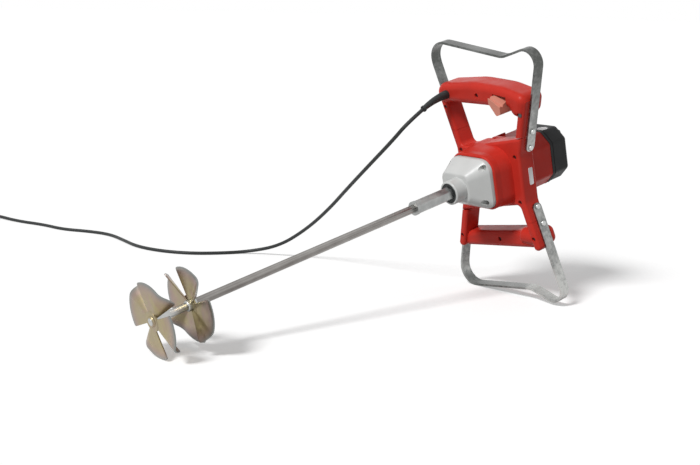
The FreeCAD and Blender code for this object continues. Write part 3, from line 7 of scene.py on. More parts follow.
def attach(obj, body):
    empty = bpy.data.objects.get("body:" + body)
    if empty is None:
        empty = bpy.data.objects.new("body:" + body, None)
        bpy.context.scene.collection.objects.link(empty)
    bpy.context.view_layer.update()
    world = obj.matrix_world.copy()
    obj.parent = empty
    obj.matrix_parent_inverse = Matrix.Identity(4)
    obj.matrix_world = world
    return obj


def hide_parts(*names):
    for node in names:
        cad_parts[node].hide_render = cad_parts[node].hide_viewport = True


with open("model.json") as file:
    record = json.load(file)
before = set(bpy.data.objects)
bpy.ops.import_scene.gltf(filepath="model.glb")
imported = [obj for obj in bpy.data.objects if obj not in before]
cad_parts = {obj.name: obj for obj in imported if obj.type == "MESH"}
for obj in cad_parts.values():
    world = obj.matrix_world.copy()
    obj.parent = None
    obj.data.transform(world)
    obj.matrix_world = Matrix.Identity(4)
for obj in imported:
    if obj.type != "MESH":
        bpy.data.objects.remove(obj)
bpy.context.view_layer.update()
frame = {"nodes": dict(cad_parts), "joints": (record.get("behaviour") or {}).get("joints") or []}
nodes = frame["nodes"]
bpy.ops.object.select_all(action='DESELECT')
print("frame loaded,", len(nodes), "nodes")

# the machine lies tipped on its lower bow, so its own axes come from the spindle joint
spindleJoint = [joint for joint in frame["joints"] if joint["name"] == "spindle_turn"][0]
spindleSpot = Vector(spindleJoint["pos_m"])
alongSpindle = Vector(spindleJoint["axis"]).normalized()
alongHandles = Vector((-alongSpindle.z, 0, alongSpindle.x))
machineTurn = Matrix((alongSpindle, (0, 1, 0), alongHandles)).transposed()
tipAngle = math.atan2(alongSpindle.z, alongSpindle.x)
perMetre = 1000      # places on the machine are in millimetres, sizes of pieces in metres


# a place on the machine: back to the motor, right as in the photo, up the handles
def machineSpot(back, right, up):
    return spindleSpot + machineTurn @ Vector((back / perMetre, -right / perMetre, up / perMetre))


# finishes
def newFinish(name, colour, roughness, metallic=0.0):
    material = bpy.data.materials.new(name)
    material.use_nodes = True
    shader = material.node_tree.nodes["Principled BSDF"]
    shader.inputs["Base Color"].default_value = (*colour, 1)
    shader.inputs["Roughness"].default_value = roughness
    shader.inputs["Metallic"].default_value = metallic
    return material, shader


def addNode(material, kind, **settings):
    node = material.node_tree.nodes.new(kind)
    for key, value in settings.items():
        setattr(node, key, value)
    return node


def wire(material, start, end):
    material.node_tree.links.new(start, end)


def placeOnPiece(material, turn=(0, 0, 0), stretch=(1, 1, 1), shift=(0, 0, 0)):
    where = addNode(material, "ShaderNodeTexCoord")
    mapping = addNode(material, "ShaderNodeMapping")
    mapping.inputs["Rotation"].default_value = turn
    mapping.inputs["Location"].default_value = shift
    stretched = addNode(material, "ShaderNodeVectorMath", operation='MULTIPLY')
    stretched.inputs[1].default_value = stretch
    wire(material, where.outputs["Object"], mapping.inputs["Vector"])
    wire(material, mapping.outputs["Vector"], stretched.inputs[0])
    return stretched.outputs["Vector"]


def speckle(material, spots, scale, detail=3.0, roughness=0.55, distortion=0.0):
    noise = addNode(material, "ShaderNodeTexNoise")
    noise.inputs["Scale"].default_value = scale
    noise.inputs["Detail"].default_value = detail
    noise.inputs["Roughness"].default_value = roughness
    noise.inputs["Distortion"].default_value = distortion
    wire(material, spots, noise.inputs["Vector"])
    return noise.outputs["Fac"]


def ramp(material, fac, stops):
    band = addNode(material, "ShaderNodeValToRGB")
    marks = band.color_ramp.elements
    while len(marks) < len(stops):
        marks.new(0.5)
    for mark, (place, colour) in zip(marks, stops):
        mark.position = place
        mark.color = (*colour, 1)
    wire(material, fac, band.inputs["Fac"])
    return band.outputs["Color"]


def spread(material, fac, low, high, start=0.3, end=0.7):
    band = addNode(material, "ShaderNodeMapRange")
    band.inputs["From Min"].default_value = start
    band.inputs["From Max"].default_value = end
    band.inputs["To Min"].default_value = low
    band.inputs["To Max"].default_value = high
    wire(material, fac, band.inputs["Value"])
    return band.outputs["Result"]


def roughen(material, shader, height, strength, depth):
    bump = addNode(material, "ShaderNodeBump")
    bump.inputs["Strength"].default_value = strength
    bump.inputs["Distance"].default_value = depth
    wire(material, height, bump.inputs["Height"])
    wire(material, bump.outputs["Normal"], shader.inputs["Normal"])


def shade(colour, factor):
    return tuple(channel * factor for channel in colour)


# a cast or moulded finish: cloudy colour, uneven gloss and a fine grain
def mouldedFinish(name, colour, roughness, grainScale, grainDepth, cloud=0.1, metallic=0.0, shine=0.35):
    material, shader = newFinish(name, colour, roughness, metallic)
    spots = placeOnPiece(material)
    clouds = speckle(material, spots, scale=22, detail=4)
    stops = [(0.3, shade(colour, 1 - cloud)), (0.7, shade(colour, 1 + cloud))]
    wire(material, ramp(material, clouds, stops), shader.inputs["Base Color"])
    smears = speckle(material, spots, scale=60, detail=4)
    gloss = spread(material, smears, roughness - 0.06, roughness + 0.08)
    wire(material, gloss, shader.inputs["Roughness"])
    grain = speckle(material, spots, grainScale, detail=2)
    roughen(material, shader, grain, strength=0.35, depth=grainDepth)
    shader.inputs["Specular IOR Level"].default_value = shine
    return material


# turns object coordinates so that X runs along the shaft
alongShaft = (0, tipAngle, 0)


# drawn, ground or stacked metal: streaks along the shaft, or round it where the first scale is the largest
def streakedFinish(name, dark, light, roughness, stretch, patchShare=0.45):
    material, shader = newFinish(name, light, roughness, 1.0)
    spots = placeOnPiece(material, alongShaft, stretch)
    streaks = speckle(material, spots, scale=60, detail=5, roughness=0.65)
    patches = speckle(material, placeOnPiece(material), scale=34)
    blend = addNode(material, "ShaderNodeMix", data_type='FLOAT')
    blend.inputs["Factor"].default_value = patchShare
    wire(material, streaks, blend.inputs["A"])
    wire(material, patches, blend.inputs["B"])
    colour = ramp(material, blend.outputs["Result"], [(0.32, dark), (0.62, light)])
    wire(material, colour, shader.inputs["Base Color"])
    gloss = spread(material, streaks, roughness - 0.08, roughness + 0.14)
    wire(material, gloss, shader.inputs["Roughness"])
    roughen(material, shader, streaks, strength=0.3, depth=0.00006)
    return material


# name, colour, roughness, scale and depth of the grain, cloudiness
redNylon = mouldedFinish("red nylon", (0.58, 0.034, 0.022), 0.36, 700, 0.00006, 0.06, shine=0.14)
silverCase = mouldedFinish("silver painted casting", (0.64, 0.65, 0.64), 0.34, 420, 0.00012, 0.05)
blackShell = mouldedFinish("black shell", (0.010, 0.011, 0.012), 0.46, 800, 0.00008, 0.15, shine=0.2)
blackRubber = mouldedFinish("black rubber", (0.022, 0.025, 0.025), 0.5, 500, 0.0001, 0.15)
salmonPlastic = mouldedFinish("salmon plastic", (0.66, 0.25, 0.18), 0.4, 600, 0.00005, 0.06)
brownPlastic = mouldedFinish("brown plastic", (0.09, 0.06, 0.04), 0.5, 600, 0.00006, 0.12)
platePaper = mouldedFinish("white plate", (0.90, 0.91, 0.92), 0.45, 500, 0.00003, 0.03)
carbonBlock = mouldedFinish("pressed carbon", (0.03, 0.03, 0.03), 0.7, 900, 0.0001, 0.2)
bronzeBush = mouldedFinish("sintered bronze", (0.42, 0.25, 0.11), 0.4, 900, 0.00006, 0.12, metallic=1.0)
brassSheet = mouldedFinish("brass sheet", (0.62, 0.42, 0.16), 0.3, 500, 0.00003, 0.1, metallic=1.0)
screwZinc = mouldedFinish("screw zinc", (0.52, 0.53, 0.52), 0.32, 500, 0.00004, 0.12, metallic=1.0)
darkScrew = mouldedFinish("dark screw", (0.10, 0.10, 0.10), 0.4, 500, 0.00004, 0.15, metallic=1.0)
# name, darkest and lightest tone, roughness, scale of the streaks along the shaft and across it
shaftSteel = streakedFinish("drawn hexagon steel", (0.085, 0.07, 0.066), (0.345, 0.335, 0.32), 0.27,
                            (0.02, 3, 3), patchShare=0.2)
holderSteel = streakedFinish("holder steel", (0.24, 0.25, 0.25), (0.46, 0.47, 0.46), 0.36, (0.3, 1, 1))
groundSteel = streakedFinish("ground steel", (0.28, 0.28, 0.29), (0.5, 0.5, 0.5), 0.3, (1.5, 0.4, 0.4))
laminateSteel = streakedFinish("stacked steel sheets", (0.1, 0.1, 0.1), (0.24, 0.23, 0.22), 0.5,
                               (6, 0.1, 0.1))
copperBars = streakedFinish("copper bars", (0.34, 0.14, 0.06), (0.6, 0.28, 0.14), 0.3, (0.2, 2, 2))


# rolled zinc strip: broad cloudy tones, partly the zinc's own mottling and partly painted reflection bands,
# light and dark, and a fine grain
def zincStrip():
    material, shader = newFinish("zinc strip", (0.36, 0.36, 0.35), 0.32, 1.0)
    spots = placeOnPiece(material)
    broad = speckle(material, spots, scale=7, detail=2, roughness=0.45, distortion=0.5)
    fine = speckle(material, spots, scale=150)
    blend = addNode(material, "ShaderNodeMix", data_type='FLOAT')
    blend.inputs["Factor"].default_value = 0.22
    wire(material, broad, blend.inputs["A"])
    wire(material, fine, blend.inputs["B"])
    # the darkest and lightest stops are partly painted reflection bands, dark and bright, on top of the
    # zinc's own mottling
    stops = [(0.38, (0.10, 0.105, 0.10)), (0.5, (0.25, 0.255, 0.25)), (0.62, (0.50, 0.505, 0.49))]
    wire(material, ramp(material, blend.outputs["Result"], stops), shader.inputs["Base Color"])
    wire(material, spread(material, fine, low=0.22, high=0.42), shader.inputs["Roughness"])
    roughen(material, shader, fine, strength=0.15, depth=0.00012)
    return material


# yellow passivated zinc, which shimmers from olive to mauve and turns slate towards the rims
def rainbowZinc():
    material, shader = newFinish("yellow passivated zinc", (0.36, 0.31, 0.19), 0.36, 0.8)
    turned = placeOnPiece(material, alongShaft, shift=(0, -spindleSpot.y, -alongHandles.dot(spindleSpot)))
    clouds = speckle(material, turned, scale=14, roughness=0.5, distortion=1.2)
    fine = speckle(material, turned, scale=90, detail=4)
    blend = addNode(material, "ShaderNodeMix", data_type='FLOAT')
    blend.inputs["Factor"].default_value = 0.15
    wire(material, clouds, blend.inputs["A"])
    wire(material, fine, blend.inputs["B"])
    stops = [(0.30, (0.31, 0.20, 0.17)), (0.42, (0.38, 0.32, 0.17)), (0.52, (0.36, 0.30, 0.19)),
             (0.60, (0.38, 0.27, 0.23)), (0.70, (0.29, 0.31, 0.24))]
    sheetColour = ramp(material, blend.outputs["Result"], stops)
    # distance from the shaft's axis
    across = addNode(material, "ShaderNodeVectorMath", operation='MULTIPLY')
    across.inputs[1].default_value = (0, 1, 1)
    reach = addNode(material, "ShaderNodeVectorMath", operation='LENGTH')
    wire(material, turned, across.inputs[0])
    wire(material, across.outputs["Vector"], reach.inputs[0])
    outward = spread(material, reach.outputs["Value"], low=0, high=1, start=0.03, end=0.061)
    rimStops = [(0.2, (0.38, 0.31, 0.18)), (0.7, (0.34, 0.25, 0.23)), (1.0, (0.24, 0.25, 0.24))]
    rimColour = ramp(material, outward, rimStops)
    rimMix = addNode(material, "ShaderNodeMix", data_type='RGBA')
    wire(material, outward, rimMix.inputs["Factor"])
    wire(material, sheetColour, rimMix.inputs["A"])
    wire(material, rimColour, rimMix.inputs["B"])
    wire(material, rimMix.outputs["Result"], shader.inputs["Base Color"])
    wire(material, spread(material, fine, low=0.26, high=0.42), shader.inputs["Roughness"])
    roughen(material, shader, clouds, strength=0.12, depth=0.0006)
    return material


zincBand = zincStrip()
rainbowSheet = rainbowZinc()

finishOf = {
    redNylon: ["body_front", "body_rear", "top_handle_front", "top_handle_rear", "bottom_handle_front",
               "bottom_handle_rear", "motor_housing"],
    blackShell: ["end_cap", "cooling_fan", "lock_button"],
    silverCase: ["gear_case", "gear_plate", "intermediate_plate"],
    zincBand: ["top_bow", "bottom_bow"],
    screwZinc: ["bow_bolts", "bow_nuts", "gear_case_screws", "end_cap_screws", "trigger_pin",
                "trigger_spring", "plug_pins"],
    darkScrew: ["housing_screws"],
    shaftSteel: ["stirrer_shaft"],
    holderSteel: ["tool_holder"],
    rainbowSheet: ["front_propeller", "rear_propeller"],
    groundSteel: ["spindle", "spindle_front_bearing", "spindle_gear", "layshaft", "layshaft_gear",
                  "layshaft_rear_bearing", "armature_shaft", "armature_front_bearing",
                  "armature_rear_bearing"],
    laminateSteel: ["armature_core", "stator"],
    copperBars: ["commutator"],
    carbonBlock: ["carbon_brush_left", "carbon_brush_right"],
    brassSheet: ["brush_holder_left", "brush_holder_right"],
    bronzeBush: ["spindle_rear_bush", "layshaft_front_bush"],
    salmonPlastic: ["trigger"],
    brownPlastic: ["switch_body", "cable_clamp"],
    blackRubber: ["spindle_seal", "cable_boot", "inner_cable", "power_cable", "cable_coil", "plug_body",
                  "cable_tie"],
}
for finish, names in finishOf.items():
    for name in names:
        nodes[name].data.materials.clear()
        nodes[name].data.materials.append(finish)
print("finishes on", sum(len(names) for names in finishOf.values()), "nodes")

# camera where the photographer stood
cameraSet = {"place": (-1.3225, -1.5504, 0.5236), "turn": (79.643, -1.278, -39.270), "lens": 63.75,
             "sensor": 36, "farthest": 200}
cameraTurn = [math.radians(angle) for angle in cameraSet["turn"]]
bpy.ops.object.camera_add(location=cameraSet["place"], rotation=cameraTurn)
camera = bpy.context.object
camera.data.lens = cameraSet["lens"]
camera.data.sensor_width = cameraSet["sensor"]
camera.data.clip_end = cameraSet["farthest"]
bpy.context.scene.camera = camera

# pale floor, one broad lamp from the front left and an even sky
stageSet = {"floorSize": 120, "floorColour": (0.9, 0.9, 0.9), "floorRough": 0.95, "floorSeen": 0.97,
            "floorBounce": 0.45, "floorLift": 0.28, "sunPower": 2.4, "sunPlace": (-2, -0.4, 2.5),
            "sunFrom": (-0.77, -0.15, 0.75), "sunSpread": 14, "skyPower": 0.24, "skySeen": 1.0}


# 1 for what the camera sees directly, in metal or through glass, 0 for light on its way
def seenRays(tree):
    ray = tree.nodes.new("ShaderNodeLightPath")
    total = ray.outputs["Is Camera Ray"]
    for kind in ("Is Glossy Ray", "Is Transmission Ray"):
        more = tree.nodes.new("ShaderNodeMath")
        more.operation = 'MAXIMUM'
        tree.links.new(total, more.inputs[0])
        tree.links.new(ray.outputs[kind], more.inputs[1])
        total = more.outputs["Value"]
    return total


bpy.ops.mesh.primitive_plane_add(size=stageSet["floorSize"])
floor = bpy.context.object
floor.name = "floor"
floorFinish, floorShader = newFinish("pale floor", stageSet["floorColour"], stageSet["floorRough"])
inView = seenRays(floorFinish.node_tree)
floorTone = spread(floorFinish, inView, stageSet["floorBounce"], stageSet["floorSeen"], 0, 1)
wire(floorFinish, floorTone, floorShader.inputs["Base Color"])
floorShader.inputs["Specular IOR Level"].default_value = 0.0
floorShader.inputs["Emission Color"].default_value = (1, 1, 1, 1)
floorGlow = spread(floorFinish, inView, 0, stageSet["floorLift"], 0, 1)
wire(floorFinish, floorGlow, floorShader.inputs["Emission Strength"])
floor.data.materials.append(floorFinish)
bpy.ops.object.light_add(type='SUN', location=stageSet["sunPlace"])
sunLamp = bpy.context.object
sunLamp.name = "broad lamp"
sunLamp.data.energy = stageSet["sunPower"]
sunLamp.data.angle = math.radians(stageSet["sunSpread"])
sunLamp.rotation_euler = Vector(stageSet["sunFrom"]).to_track_quat('Z', 'Y').to_euler()
world = bpy.data.worlds.new("studio")
bpy.context.scene.world = world
world.use_nodes = True
sky = world.node_tree.nodes["Background"]
sky.inputs["Color"].default_value = (1, 1, 1, 1)
level = world.node_tree.nodes.new("ShaderNodeMapRange")
level.inputs["To Min"].default_value = stageSet["skyPower"]
level.inputs["To Max"].default_value = stageSet["skySeen"]
world.node_tree.links.new(seenRays(world.node_tree), level.inputs["Value"])
world.node_tree.links.new(level.outputs["Result"], sky.inputs["Strength"])
bpy.context.scene.view_settings.view_transform = 'Standard'
print("camera, floor and lamp set")

# mains cable: hangs from the boot, wanders over the floor and ends in a tied coil with the plug
cableSet = {
    "thick": 0.007, "length": 3.16, "lead": 0.055, "tail": 0.024,
    "coilMiddle": (-0.165, 1.321), "coilHeading": (-0.25, 0.968), "coilAcross": 0.078,
    "turnStep": 0.0077, "layerGap": 0.0006, "lift": 0.0016, "halfTurns": 6, "pointsPerHalf": 8,
    "hanging": [(0.18324, 0.07958, 0.34486), (0.14533, 0.07958, 0.32061), (0.140, 0.108, 0.290),
                (0.148, 0.184, 0.234), (0.168, 0.268, 0.180), (0.190, 0.354, 0.124), (0.201, 0.440, 0.070),
                (0.194, 0.522, 0.023)],
    "onFloor": [(0.160, 0.588), (0.098, 0.608), (0.046, 0.640), (0.008, 0.696), (-0.008, 0.766),
                (0.003, 0.842), (0.012, 0.920), (-0.010, 0.980), (-0.048, 1.036), (-0.058, 1.112),
                (-0.088, 1.190)],
    "order": 3, "stepsPerPoint": 8, "roundSteps": 5,
}


def coilPoints(piece):
    heading = Vector((*piece["coilHeading"], 0)).normalized()
    side = Vector((heading.y, -heading.x, 0))
    layer = piece["thick"] + piece["layerGap"]
    count = piece["halfTurns"]
    step = piece["turnStep"] / 2
    radius = piece["coilAcross"] / 2 + count * step / 2
    height = piece["thick"] / 2 + piece["lift"]
    start = Vector((*piece["coilMiddle"], 0)) + side * radius + Vector((0, 0, height))
    points = [start - heading * (piece["thick"] + piece["lead"]), start - heading * piece["thick"]]
    perHalf = piece["pointsPerHalf"]
    reach = 1 / math.cos(math.pi / perHalf / 2)    # control points stand a little outside the turn
    rounds = [(radius - step * turn, 0) for turn in range(count)]
    rounds.append((radius - step * count, layer))
    rounds += [(radius - step * (count - 1 - turn), 0) for turn in range(count)]
    for turnRadius, climb in rounds:
        inward = Vector((-heading.y, heading.x, 0))
        centre = start + inward * turnRadius
        for number in range(perHalf):
            angle = math.pi * (number + 0.5) / perHalf
            rise = climb * (0.5 - 0.5 * math.cos(angle))
            points.append(centre + (heading * math.sin(angle) - inward * math.cos(angle)) * turnRadius * reach
                          + Vector((0, 0, rise)))
        start = start + inward * (2 * turnRadius) + Vector((0, 0, climb))
        heading = -heading
    points.append(start + heading * piece["tail"])
    return points


def layCable(piece):
    floorLine = piece["thick"] / 2
    points = [Vector(spot) for spot in piece["hanging"]]
    points += [Vector((*spot, floorLine)) for spot in piece["onFloor"]]
    points += coilPoints(piece)
    line = bpy.data.curves.new("mainsCable", 'CURVE')
    line.dimensions = '3D'
    spline = line.splines.new('NURBS')
    spline.points.add(len(points) - 1)
    for target, spot in zip(spline.points, points):
        target.co = (*spot, 1)
    spline.order_u = piece["order"]
    spline.use_endpoint_u = True
    spline.resolution_u = piece["stepsPerPoint"]
    line.bevel_depth = piece["thick"] / 2
    line.bevel_resolution = piece["roundSteps"]
    line.use_fill_caps = True
    cable = bpy.data.objects.new("mainsCable", line)
    bpy.context.collection.objects.link(cable)
    cable.data.materials.append(blackRubber)
    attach(cable, "machine")
    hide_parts("power_cable", "cable_coil")


layCable(cableSet)
print("cable laid")

# a piece is drawn at the origin and turned clockwise about each axis, here until its Z runs to the propellers
quarterTurn = math.radians(90)
towardsFront = [('X', -quarterTurn), ('Z', quarterTurn), ('Y', tipAngle)]
smoothBelow = math.radians(30)


# turns the piece in edit mode, carries it to its place and ends edit mode
def carry(turns, place):
    bpy.ops.mesh.select_all(action='SELECT')
    for axis, angle in turns:
        bpy.ops.transform.rotate(value=angle, orient_axis=axis, orient_type='GLOBAL',
                                 center_override=(0, 0, 0))
    bpy.ops.transform.translate(value=place)
    bpy.ops.mesh.normals_make_consistent(inside=False)
    bpy.ops.object.mode_set(mode='OBJECT')
    bpy.ops.object.shade_smooth_by_angle(angle=smoothBelow)


def finishPiece(piece, finish, body="machine"):
    piece.data.materials.append(finish)
    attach(piece, body)


# blank plate on the right side of the body
plateSet = {"place": (0.2, 77.95, 1.8), "wide": 0.0098, "high": 0.031, "thick": 0.0006, "corner": 0.0018,
            "cornerSteps": 5, "edge": 0.0006, "edgeDrop": 0.0002}
bpy.ops.object.select_all(action='DESELECT')
bpy.ops.mesh.primitive_plane_add(size=1, location=(0, 0, 0))
blankPlate = bpy.context.object
blankPlate.name = "blankPlate"
bpy.ops.object.mode_set(mode='EDIT')
bpy.ops.mesh.select_all(action='SELECT')
bpy.ops.transform.resize(value=(plateSet["wide"], plateSet["high"], 1))
bpy.ops.mesh.bevel(offset=plateSet["corner"], segments=plateSet["cornerSteps"], affect='VERTICES')
bpy.ops.mesh.select_all(action='SELECT')
bpy.ops.mesh.extrude_region_move(TRANSFORM_OT_translate={"value": (0, 0, plateSet["thick"])})
bpy.ops.mesh.inset(thickness=plateSet["edge"])
bpy.ops.transform.translate(value=(0, 0, -plateSet["edgeDrop"]))
carry([('X', -quarterTurn), ('Y', tipAngle)], machineSpot(*plateSet["place"]))
finishPiece(blankPlate, platePaper)
print("plate made")

# blank oval on the cap
ovalSet = {"place": (105, 18, 52.5), "wide": 0.0205, "deep": 0.019, "thick": 0.0006, "edge": 0.0008,
           "edgeDrop": 0.0002, "sides": 40}
bpy.ops.object.select_all(action='DESELECT')
bpy.ops.mesh.primitive_circle_add(vertices=ovalSet["sides"], radius=0.5, fill_type='NGON', location=(0, 0, 0))
blankOval = bpy.context.object
blankOval.name = "blankOval"
bpy.ops.object.mode_set(mode='EDIT')
bpy.ops.mesh.select_all(action='SELECT')
bpy.ops.transform.resize(value=(ovalSet["deep"], ovalSet["wide"], 1))
bpy.ops.mesh.extrude_region_move(TRANSFORM_OT_translate={"value": (0, 0, ovalSet["thick"])})
bpy.ops.mesh.inset(thickness=ovalSet["edge"])
bpy.ops.transform.translate(value=(0, 0, -ovalSet["edgeDrop"]))
carry([('Y', tipAngle)], machineSpot(*ovalSet["place"]))
finishPiece(blankOval, platePaper)
print("oval made")


# selects the points of the piece in edit mode that pass a test of their place
def selectPoints(piece, test):
    bpy.ops.object.mode_set(mode='OBJECT')
    for part in (*piece.data.polygons, *piece.data.edges):
        part.select = False
    for vertex in piece.data.vertices:
        vertex.select = test(vertex.co)
    bpy.ops.object.mode_set(mode='EDIT')
    bpy.ops.mesh.select_mode(type='VERT')


def applyModifier(piece, kind, **settings):
    bpy.ops.object.mode_set(mode='OBJECT')
    modifier = piece.modifiers.new(kind.lower(), kind)
    for key, value in settings.items():
        setattr(modifier, key, value)
    bpy.ops.object.modifier_apply(modifier=modifier.name)
    bpy.ops.object.mode_set(mode='EDIT')


# stamped propellers: a slit disc whose four blades each have one wing bent over
propellerSet = {"blades": 4, "tip": 0.0612, "root": 0.0095, "edgeCuts": 6, "foldAt": math.radians(56.5),
                "flat": math.radians(54), "flatSteps": 14, "wing": math.radians(30), "wingSteps": 8,
                "bendSteps": 4, "corner": 0.0045, "cornerSteps": 4, "sheet": 0.0022, "rim": 0.0004,
                "rimSteps": 2, "rimFrom": math.radians(60), "disc": 0.0165, "discSides": 48,
                "discProud": 0.0005, "boss": 0.009, "bossEdge": 0.001, "bossHigh": 2.6, "bore": 0.0061}
sameSpot = 0.00001      # metres between points that count as one
nearCorner = 0.0001


def makePropeller(name, node, station, wingBend):
    span = propellerSet["tip"] - propellerSet["root"]
    bpy.ops.object.select_all(action='DESELECT')
    bpy.ops.mesh.primitive_plane_add(size=1, location=(0, 0, 0))
    propeller = bpy.context.object
    propeller.name = name
    selectPoints(propeller, lambda spot: spot.x > 0)
    bpy.ops.mesh.delete(type='VERT')
    # one edge along the fold, from the hub to the rim
    bpy.ops.mesh.select_all(action='SELECT')
    bpy.ops.transform.translate(value=(0.5, 0, 0))
    bpy.ops.transform.resize(value=(1, span, 1), center_override=(0, 0, 0))
    bpy.ops.transform.translate(value=(0, propellerSet["root"] + span / 2, 0))
    bpy.ops.mesh.subdivide(number_cuts=propellerSet["edgeCuts"])
    bpy.ops.mesh.spin(steps=propellerSet["flatSteps"], angle=-propellerSet["flat"], center=(0, 0, 0),
                      axis=(0, 0, 1))
    # the wing goes on from the fold and turns a little further out of the disc at each of its first steps
    selectPoints(propeller, lambda spot: abs(spot.x) < sameSpot)
    normal = Vector((0, 0, 1))
    edge = Vector((0, 1, 0))
    bendStep = math.radians(wingBend) / propellerSet["bendSteps"]
    wingStep = propellerSet["wing"] / propellerSet["wingSteps"]
    for step in range(propellerSet["wingSteps"]):
        if step < propellerSet["bendSteps"]:
            normal = Matrix.Rotation(bendStep, 3, edge) @ normal
        bpy.ops.mesh.spin(steps=1, angle=wingStep, center=(0, 0, 0), axis=normal)
        edge = Matrix.Rotation(-wingStep, 3, normal) @ edge
    wingCorner = edge * propellerSet["tip"]
    flatCorner = Matrix.Rotation(propellerSet["flat"], 3, 'Z') @ Vector((0, propellerSet["tip"], 0))
    corners = (wingCorner, flatCorner)
    selectPoints(propeller, lambda spot: min((spot - corner).length for corner in corners) < nearCorner)
    bpy.ops.mesh.bevel(offset=propellerSet["corner"], segments=propellerSet["cornerSteps"], affect='VERTICES')
    bpy.ops.mesh.select_all(action='SELECT')
    bpy.ops.mesh.remove_doubles(threshold=sameSpot)
    bpy.ops.mesh.normals_make_consistent(inside=False)
    applyModifier(propeller, 'SOLIDIFY', thickness=propellerSet["sheet"], offset=0)
    applyModifier(propeller, 'BEVEL', width=propellerSet["rim"], segments=propellerSet["rimSteps"],
                  limit_method='ANGLE', angle_limit=propellerSet["rimFrom"])
    bpy.ops.mesh.select_all(action='SELECT')
    bladeTurn = math.radians(360) / propellerSet["blades"]
    for blade in range(1, propellerSet["blades"]):
        bpy.ops.mesh.duplicate()
        bpy.ops.transform.rotate(value=bladeTurn, orient_axis='Z', center_override=(0, 0, 0))
    # the middle of the disc, drawn out on both sides to a welded boss round the bore
    bpy.ops.mesh.select_all(action='DESELECT')
    discThick = propellerSet["sheet"] + propellerSet["discProud"]
    bpy.ops.mesh.primitive_cylinder_add(vertices=propellerSet["discSides"], radius=propellerSet["disc"],
                                        depth=discThick, location=(0, 0, 0))
    bpy.ops.mesh.select_mode(type='FACE')
    bpy.ops.object.mode_set(mode='OBJECT')
    for face in propeller.data.polygons:
        face.select = face.select and len(face.vertices) == propellerSet["discSides"]
    bpy.ops.object.mode_set(mode='EDIT')
    bpy.ops.mesh.inset(thickness=propellerSet["disc"] - propellerSet["boss"])
    bpy.ops.mesh.inset(thickness=propellerSet["bossEdge"])
    bpy.ops.transform.resize(value=(1, 1, propellerSet["bossHigh"]), center_override=(0, 0, 0))
    bpy.ops.mesh.inset(thickness=propellerSet["boss"] - propellerSet["bossEdge"] - propellerSet["bore"])
    bpy.ops.mesh.bridge_edge_loops()
    carry([('Z', quarterTurn - propellerSet["foldAt"]), *towardsFront], machineSpot(station, 0, 0))
    finishPiece(propeller, rainbowSheet, "spindle")
    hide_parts(node)


makePropeller("frontPropeller", "front_propeller", station=-741, wingBend=44)
makePropeller("rearPropeller", "rear_propeller", station=-673, wingBend=-39)
print("propellers made")

# stirrer bar: a hexagon from the rear propeller to the holder, round inside the holder
barSet = {"front": -668.5, "holder": -213, "rear": -184, "round": 0.006, "flats": 0.0135, "rim": 0.0005,
          "rimSteps": 2, "sides": 40}
hexLong = (barSet["holder"] - barSet["front"]) / perMetre
hexRadius = barSet["flats"] / math.sqrt(3)
stubLong = (barSet["rear"] - barSet["holder"]) / perMetre
bpy.ops.object.select_all(action='DESELECT')
bpy.ops.mesh.primitive_cylinder_add(vertices=6, radius=hexRadius, depth=hexLong, location=(0, 0, 0))
stirrerBar = bpy.context.object
stirrerBar.name = "stirrerBar"
bpy.ops.object.mode_set(mode='EDIT')
bpy.ops.mesh.select_all(action='SELECT')
bpy.ops.transform.translate(value=(0, 0, -hexLong / 2))
bpy.ops.mesh.bevel(offset=barSet["rim"], segments=barSet["rimSteps"])
# the round stub reaches as far into the hexagon as into the holder
bpy.ops.mesh.select_all(action='DESELECT')
bpy.ops.mesh.primitive_cylinder_add(vertices=barSet["sides"], radius=barSet["round"], depth=stubLong * 2,
                                    location=(0, 0, -hexLong))
carry(towardsFront, machineSpot(barSet["front"], 0, 0))
finishPiece(stirrerBar, shaftSteel, "spindle")
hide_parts("stirrer_shaft")

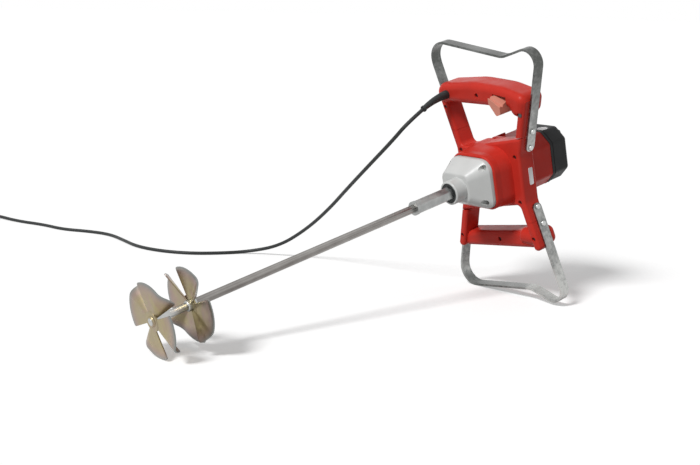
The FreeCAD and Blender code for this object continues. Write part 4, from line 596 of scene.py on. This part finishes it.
# bright round end, flush with the front propeller, and the weld bead on both sides of the rear one
endSet = {"front": -745.2, "rear": -666, "round": 0.006, "rim": 0.0008, "rimSteps": 3, "beadMiddle": -672.5,
          "bead": 0.0086, "beadLong": 0.0185, "beadEdge": 0.0032, "beadSteps": 4, "sides": 40}
endLong = (endSet["rear"] - endSet["front"]) / perMetre
endMiddle = (endSet["beadMiddle"] - endSet["rear"]) / perMetre + endLong / 2
bpy.ops.object.select_all(action='DESELECT')
bpy.ops.mesh.primitive_cylinder_add(vertices=endSet["sides"], radius=endSet["bead"], depth=endSet["beadLong"],
                                    location=(0, 0, 0))
weldedEnd = bpy.context.object
weldedEnd.name = "weldedEnd"
bpy.ops.object.mode_set(mode='EDIT')
bpy.ops.mesh.select_all(action='SELECT')
bpy.ops.mesh.bevel(offset=endSet["beadEdge"], segments=endSet["beadSteps"])
bpy.ops.mesh.select_all(action='DESELECT')
bpy.ops.mesh.primitive_cylinder_add(vertices=endSet["sides"], radius=endSet["round"], depth=endLong,
                                    location=(0, 0, endMiddle))
bpy.ops.mesh.bevel(offset=endSet["rim"], segments=endSet["rimSteps"])
carry(towardsFront, machineSpot(endSet["beadMiddle"], 0, 0))
finishPiece(weldedEnd, screwZinc, "spindle")
print("stirrer bar made")

# front lip of the black cap, which reaches over the motor housing
lipSet = {"rear": 94, "up": 3.5, "wide": 0.1013, "high": 0.1003, "long": 0.0075, "chamfer": 0.0212,
          "round": 0.0042, "roundSteps": 5, "wall": 0.00055}
bpy.ops.object.select_all(action='DESELECT')
bpy.ops.mesh.primitive_plane_add(size=1, location=(0, 0, 0))
capLip = bpy.context.object
capLip.name = "capLip"
bpy.ops.object.mode_set(mode='EDIT')
bpy.ops.mesh.select_all(action='SELECT')
bpy.ops.transform.resize(value=(lipSet["wide"], lipSet["high"], 1))
bpy.ops.mesh.bevel(offset=lipSet["chamfer"], segments=1, affect='VERTICES')
bpy.ops.mesh.select_all(action='SELECT')
bpy.ops.mesh.bevel(offset=lipSet["round"], segments=lipSet["roundSteps"], affect='VERTICES')
bpy.ops.mesh.select_all(action='SELECT')
# a second outline in front of the first, then both are opened and joined to a ring
bpy.ops.mesh.duplicate()
bpy.ops.transform.translate(value=(0, 0, lipSet["long"]))
bpy.ops.mesh.select_all(action='SELECT')
bpy.ops.mesh.inset(thickness=lipSet["wall"])
bpy.ops.mesh.delete(type='FACE')
bpy.ops.mesh.select_all(action='SELECT')
bpy.ops.mesh.bridge_edge_loops()
carry(towardsFront, machineSpot(lipSet["rear"], 0, lipSet["up"]))
finishPiece(capLip, blackShell)
print("cap lip made")
